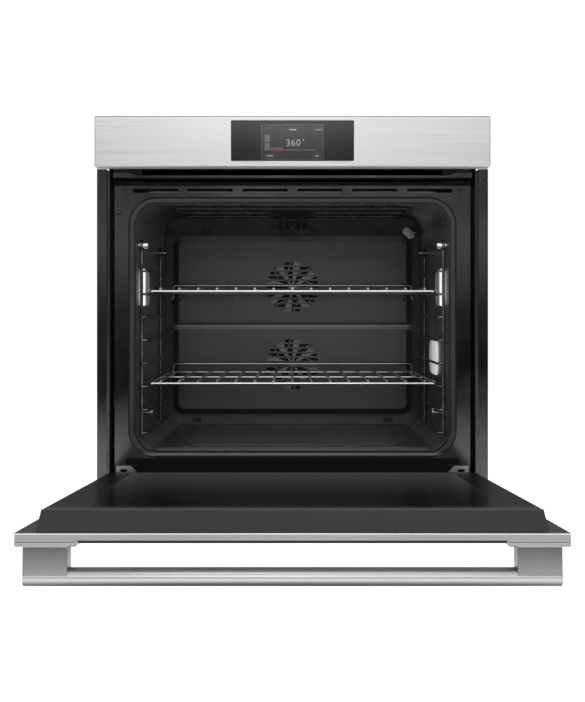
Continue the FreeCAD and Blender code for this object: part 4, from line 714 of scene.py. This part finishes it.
def studio():
    """Sky, floor, camera, one large softbox over the object and two behind it."""
    surroundings()
    floor()
    camera()
    softbox("overhead", (0, -2.7, 2.7), (0, -0.3, 0.3), (2.2, 1.0), 1.35)
    for side in (-1, 1):
        softbox(f"rear_{side + 1}", (side * 2.6, 3.2, 1.8), (0, 0.3, 0.4), (1.8, 1.4), 0.7)


def lamp_lights():
    """The light that each oven lamp throws across the cavity, and what the walls send back."""
    _, lens_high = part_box("lamp_lenses")
    wall = lens_high.x - 9 * MM
    for name, side, y, z in LAMPS:
        softbox(f"lamp_{name}", (side * wall, y, z), (0, y, z), (90 * MM, 62 * MM), 11.0, False)
    for name, *spots, radiance, mirrored in GLOWS:
        softbox(name, *(tuple(value * MM for value in spot) for spot in spots), radiance, mirrored)
    low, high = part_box("door_inner_glass")
    middle, level = (low.y + high.y) / 2, (low.z + high.z) / 2 + 8 * MM
    lean = math.tan(math.radians(90 - DOOR_ANGLE))
    softbox("door_glow", (0, middle, level), (0, middle + lean, level + 1), (600 * MM, 460 * MM), 0.4, False)


# ------------------------------------------------------------------ small pieces

NUT_PROFILE = ((6.2, 0.1), (6.6, 0.5), (6.2, 2.4), (3.4, 3.2), (3.0, 6.5), (0.6, 7.0))  # radius, depth in mm
DOME = ((0.0, 0.25), (0.25, 0.75), (0.9, 1.0))  # a bar's end: how far in, how wide, in radii
SHADE_SHEET_HALF = ((303, 24), (303, 43), (321, 43), (326, 46), (326, 51), (324.5, 54), (321, 55.5))  # X, Z in mm


def ring(across, up, radius, steps=20):
    """Points round a circle."""
    turns = (2 * math.pi * n / steps for n in range(steps))
    return [(across + radius * math.cos(turn), up + radius * math.sin(turn)) for turn in turns]


def placed(name, mesh, material, body_name):
    """A piece of one material, riding on a body."""
    mesh.materials.append(material)
    made = linked(name, mesh)
    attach(made, body_name)


def lofted(name, rings, material, body_name, smooth=False):
    """A closed piece: a skin over rings of points, with both ends filled."""
    work = bmesh.new()
    rows = [[work.verts.new(point) for point in points] for points in rings]
    for first, second in zip(rows, rows[1:]):
        for n in range(len(first)):
            after = (n + 1) % len(first)
            work.faces.new((first[n], first[after], second[after], second[n]))
    work.faces.new(rows[0])
    work.faces.new(rows[-1])
    bmesh.ops.recalc_face_normals(work, faces=work.faces[:])
    mesh = bpy.data.meshes.new(name)
    work.to_mesh(mesh)
    work.free()
    if smooth:
        mesh.shade_smooth()
    placed(name, mesh, material, body_name)


def hole_backing():
    """Spring nuts behind the installation holes of the side trims."""
    steel = black_screw().material
    screws = MOUNTS["trim_screws"]
    height, aside = screws["pos_m"][2], screws["dims"]["spacing_x_mm"] / 2 * MM
    for side, x in (("left", -aside), ("right", aside)):
        rings = [[(across, depth * MM, up) for across, up in ring(x, height, radius * MM, 24)]
                 for radius, depth in NUT_PROFILE]
        lofted(f"trim_nut_{side}", rings, steel, "chassis")


def bar_along_x(name, half_length, y, z, radius, body_name, material):
    """A slim round bar with domed ends, lying along X."""
    stations = [(-half_length + drop * radius, size) for drop, size in DOME]
    stations += [(-place, size) for place, size in reversed(stations)]
    rings = [[(x, across, up) for across, up in ring(y, z, size * radius, 12)] for x, size in stations]
    lofted(name, rings, material, body_name, smooth=True)


def highlight_steel():
    """Steel brighter than the brushed stainless, a painted highlight on rolled edges."""
    made = Finish("highlight_steel", (0.92, 0.92, 0.92), 0.3, {"Metallic": 1.0})
    scuff = made.noise((40, 900, 900), 3.0)
    made.colour(made.span(scuff, 0.3, 0.7, 0.0, 1.0), (0.88, 0.88, 0.88), (0.97, 0.97, 0.97))
    made.drive("Roughness", made.span(scuff, 0.3, 0.7, 0.24, 0.38))
    return made


def door_edges():
    """The rolled rim of the door pan's edge, bright as a painted highlight, a black bar under it as painted shade
    of the recess, and the edges of the moulding and the glass, paler as painted highlights.
    """
    low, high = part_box("door_outer_skin")
    # painted highlight: the rim takes steel brighter than the pan
    bar_along_x("door_pan_rim", high.x - 0.6 * MM, low.y + 1.2 * MM, high.z - 0.7 * MM, 1.25 * MM, "door",
                highlight_steel().material)
    # painted shade: a black bar for the recess under the front edge
    recess_shade_half = RECESS_SHADE_HALF - 0.5 * MM
    bar_along_x("door_face_recess_shade", recess_shade_half, low.y + 1.8 * MM, high.z - 12.3 * MM, 1.3 * MM, "door",
                satin_trim("recess_shade_black", 0.006).material)
    # painted highlight: the moulding's edge bar is paler than the moulding
    low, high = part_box("door_top_trim")
    bar_along_x("door_trim_edge", high.x - 1 * MM, high.y - 3 * MM, high.z - 0.4 * MM, 0.9 * MM, "door",
                satin_trim("satin_edge_highlight", 0.10).material)
    # painted highlight: a pale bar along the glass edge
    low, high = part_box("door_inner_glass")
    bar_along_x("glass_edge_highlight", high.x - 4 * MM, low.y + 0.2 * MM, high.z - 0.2 * MM, 0.7 * MM, "door",
                satin_trim("glass_highlight_satin", 0.12).material)


def display_lip():
    """The rolled lip along the bottom of the opening for the display, in bright steel as a painted highlight."""
    low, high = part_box("display_glass")
    face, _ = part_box("control_panel_fascia")
    bar_along_x("display_lip", high.x - 0.3 * MM, face.y + 0.5 * MM, low.z - 2.6 * MM, 1.1 * MM, "chassis",
                highlight_steel().material)


def shade_sheet_paint():
    """Matt black paint that hardly reflects."""
    made = Finish("shade_sheet_paint", (0.006, 0.006, 0.006), 0.9, {"Specular IOR Level": 0.1})
    peel = made.noise((700, 700, 700), 3.0)
    made.colour(made.span(peel, 0.3, 0.7, 0.0, 1.0), (0.004, 0.004, 0.004), (0.009, 0.009, 0.009))
    made.bump(peel, 0.03 * MM)
    return made


def sill_shade_sheet():
    """Matt black sheet over the foot of the front frame, between the two hinge sockets, as painted shade."""
    frame_low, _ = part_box("front_frame")
    corners = list(SHADE_SHEET_HALF) + [(-x, z) for x, z in reversed(SHADE_SHEET_HALF)]
    rings = [[((x - math.copysign(shrink, x)) * MM, frame_low.y - depth * MM, z * MM) for x, z in corners]
             for depth, shrink in ((0.1, 0.0), (0.7, 0.0), (1.0, 0.5))]
    # painted shade: a matt black sheet over the foot of the front frame
    lofted("sill_shade_sheet", rings, shade_sheet_paint().material, "chassis")


# ------------------------------------------------------------------ dressing the CAD nodes

def finishes_by_slot():
    """One finish for each material slot of the record."""
    screen_low, screen_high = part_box("display_module")
    return {
        "stainless": stainless(),
        "black_enamel": enamel("black_enamel", (0.020, 0.0202, 0.021), 0.2, (0.16, 0.165, 0.18)),
        "black_paint": black_paint(),
        "galvanised": galvanised(),
        "zinc_steel": zinc_steel(),
        "chrome_wire": chrome_wire(),
        "heater_metal": heater_metal(),
        "seal": seal(),
        "fan_metal": plain_metal("fan_metal", (0.14, 0.14, 0.14), 0.3),
        "dark_plastic": dark_plastic(),
        "circuit_board": circuit_board(),
        "insulation": insulation(),
        "clear_glass": clear_glass(),
        "black_glass": display_glass(screen_high.x, screen_low.z, screen_high.z),
        "screen": lit("screen", (0.02, 0.02, 0.0205), 0.4),
        "lamp_glass": lamp_glass(),
    }


def finishes_by_node():
    """The nodes whose finish differs from their slot's."""
    shared = (
        (gloss_black(), ("front_frame", "side_trim_left", "side_trim_right", "vent_strip")),
        (dark_wire(), ("rack_support_left", "rack_support_right")),
        (cast_stainless(), ("handle_bracket_left", "handle_bracket_right")),
        (fan_steel(), ("fan_wheel_upper", "fan_wheel_lower")),
        # painted shade: the duct and the base pan are black further in
        (galvanised("duct_steel", 190 * MM), ("cooling_duct", "base_pan")),
    )
    own = {name: finish for finish, names in shared for name in names}
    own.update({
        "door_inner_glass": door_glass("inner_window_glass", "door_inner_glass", half_width=304 * MM,
                                       hinge_margin=10 * MM, handle_margin=30 * MM, ground=0.5 * MM,
                                       clear=0.04),
        "door_outer_glass": door_glass("outer_window_glass", "door_outer_glass", half_width=255 * MM,
                                       hinge_margin=12 * MM, handle_margin=12 * MM, ground=0.0, clear=0.8),
        "cavity_wrapper": wrapper_enamel(),
        "cavity_floor_panel": floor_enamel(),
        "cavity_rear_wall": rear_enamel(),
        "fan_cover": cover_enamel(),
        "door_outer_skin": door_skin(),
        # painted shade: the bar takes a darker copy of the stainless
        "handle_bar": stainless("bar_steel", 0.55),
        "control_panel_fascia": panel_steel(),
        "door_top_trim": satin_trim(),
        "cavity_screws": black_screw(),
    })
    return own


def dress():
    """Every CAD node takes its own finish, or else the one that its record slot names."""
    by_slot, by_node = finishes_by_slot(), finishes_by_node()
    for name, piece in NODES.items():
        for spot in piece.material_slots:
            slot_name = spot.material.name.split(".")[0]
            spot.material = (by_node[name] if name in by_node else by_slot[slot_name]).material


# ------------------------------------------------------------------ flat marks on the screen

MARK_THICK = 0.01 * MM
RIM_LINE = 0.35 * MM


def flat_piece(name, outlines, level, material):
    """Thin marks in the front view: each outline is a closed list of (x, z), later ones are holes."""
    curve = bpy.data.curves.new(name, "CURVE")
    curve.dimensions = "2D"
    curve.fill_mode = "BOTH"
    curve.extrude = MARK_THICK
    for points in outlines:
        line = curve.splines.new("POLY")
        line.points.add(len(points) - 1)
        for point, (x, z) in zip(line.points, points):
            point.co = (x, z, 0, 1)
        line.use_cyclic_u = True
    stand_up(name, curve, level, material)


def stand_up(name, curve, level, material, move=(0, 0)):
    """Turns a flat curve or text into a mesh that faces the front at the given depth."""
    holder = linked(name + "_draft", curve)
    bpy.context.view_layer.update()
    mesh = bpy.data.meshes.new_from_object(holder.evaluated_get(bpy.context.evaluated_depsgraph_get()))
    bpy.data.objects.remove(holder)
    for vertex in mesh.vertices:
        x, z, lift = vertex.co
        vertex.co = (x + move[0], level - lift, z + move[1])
    mesh.name = name
    mesh.materials.clear()
    placed(name, mesh, material, "chassis")


def pill(x0, x1, z0, z1, radius, steps=6):
    """Corner points of a rounded box, in metres."""
    points = []
    for cx, cz, first in ((x1 - radius, z1 - radius, 0), (x0 + radius, z1 - radius, 1),
                          (x0 + radius, z0 + radius, 2), (x1 - radius, z0 + radius, 3)):
        for step in range(steps + 1):
            angle = (first + step / steps) * math.pi / 2
            points.append((cx + radius * math.cos(angle), cz + radius * math.sin(angle)))
    return points


def rim(x0, x1, z0, z1, radius):
    """A thin rounded frame: the outside and the hole."""
    inner = pill(x0 + RIM_LINE, x1 - RIM_LINE, z0 + RIM_LINE, z1 - RIM_LINE, radius - RIM_LINE)
    return [pill(x0, x1, z0, z1, radius), inner[::-1]]


def dashes(count, start, pitch, width, z0, z1, radius=0.4 * MM):
    """A row of short bars where the real screen has a word."""
    return [pill(start + pitch * n, start + pitch * n + width, z0, z1, radius) for n in range(count)]


def number(name, text, height, place, level, material, thin=0.0, spacing=1.0):
    """Numerals in Blender's built-in plain typeface, their strokes thinned by so much."""
    curve = bpy.data.curves.new(name, "FONT")
    curve.body = text
    curve.size = height
    curve.offset = -thin
    curve.space_character = spacing
    curve.align_x, curve.align_y = "CENTER", "CENTER"
    curve.extrude = MARK_THICK
    stand_up(name, curve, level, material, place)


def screen_marks():
    """Temperature, clock, function cells, progress line and two buttons, all lit behind the glass."""
    low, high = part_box("display_module")
    level = low.y - 0.04 * MM
    left, right, top, bottom = low.x + 6 * MM, high.x - 5 * MM, high.z - 6 * MM, low.z + 3 * MM
    bright = lit("screen_white", (0.9, 0.9, 0.9), 0.9).material
    soft = lit("screen_grey", (0.5, 0.5, 0.51), 0.32).material
    faint = lit("screen_faint", (0.4, 0.4, 0.41), 0.16).material
    red = lit("screen_red", (0.75, 0.03, 0.03), 0.9).material

    # temperature and the line of clock, title and timer
    number("screen_temperature", "360", 18.5 * MM, (1.4 * MM, low.z + 32.1 * MM), level, bright,
           thin=0.3 * MM, spacing=1.06)
    spot = (20.6 * MM, low.z + 37.9 * MM)
    flat_piece("screen_degree", [ring(*spot, 1.4 * MM), ring(*spot, 0.8 * MM)[::-1]], level, bright)
    heading = low.z + 57.4 * MM
    number("screen_clock", "12:30", 4.6 * MM, (right - 4.5 * MM, heading), level, bright)
    flat_piece("screen_title", dashes(5, -6 * MM, 2.8 * MM, 1.9 * MM, heading - 1 * MM, heading + 1.1 * MM,
                                      0.5 * MM), level, bright)
    timer = pill(41 * MM, 43 * MM, heading - 1.3 * MM, heading + 1.5 * MM, 0.9 * MM)
    flat_piece("screen_timer_mark", [timer], level, soft)

    # two function cells at the left, with their marks
    cell_low, cell_high, cell_tall = low.z + 17.5 * MM, low.z + 33.2 * MM, 14.6 * MM
    cells = [pill(left, left + 10.2 * MM, z, z + cell_tall, 0.6 * MM) for z in (cell_low, cell_high)]
    flat_piece("screen_cells", cells, level, faint)
    marks = []
    for z, bars in ((cell_high + 7.2 * MM, (3.2 * MM, -3.2 * MM)), (cell_low + 7.2 * MM, (-3.2 * MM,))):
        marks += [pill(left + 2.6 * MM, left + 7.6 * MM, z + bar - 0.35 * MM, z + bar + 0.35 * MM, 0.3 * MM)
                  for bar in bars]
        marks.append(pill(left + 4.4 * MM, left + 5.8 * MM, z - 1.2 * MM, z + 1.2 * MM, 0.6 * MM))
    flat_piece("screen_function_marks", marks, level - 0.02 * MM, soft)

    # progress line, with the stage's name over its start
    line_start, line_now, line_end = -41.5 * MM, -20 * MM, 43.8 * MM
    line_low = low.z + 17.9 * MM
    flat_piece("screen_progress_done", [pill(line_start, line_now, line_low, line_low + 1.6 * MM, 0.7 * MM)],
               level, red)
    left_over = pill(line_now, line_end, line_low + 0.4 * MM, line_low + 1.2 * MM, 0.3 * MM)
    flat_piece("screen_progress_left", [left_over], level, soft)
    stage_name = dashes(7, line_start, 3.3 * MM, 2.5 * MM, line_low + 3.2 * MM, line_low + 5 * MM)
    flat_piece("screen_stage_name", stage_name, level, soft)

    # buttons in three corners
    button_high, round_end = bottom + 9.4 * MM, 4.6 * MM
    rims = rim(left, left + 21 * MM, bottom, button_high, round_end)
    rims += rim(right - 15.4 * MM, right, bottom, button_high, round_end)
    rims += rim(left, left + 9 * MM, top - 9 * MM, top, 1.6 * MM)
    flat_piece("screen_button_rims", rims, level, faint)
    word_low, word_high = bottom + 3.7 * MM, bottom + 5.6 * MM
    words = dashes(4, left + 4.6 * MM, 3 * MM, 2.3 * MM, word_low, word_high)
    words += dashes(3, right - 11 * MM, 2.6 * MM, 1.9 * MM, word_low, word_high)
    flat_piece("screen_button_words", words, level, bright)


# ------------------------------------------------------------------ build

bpy.context.scene.view_settings.view_transform = "Standard"
studio()
lamp_lights()
dress()
hole_backing()
door_edges()
display_lip()
sill_shade_sheet()
screen_marks()
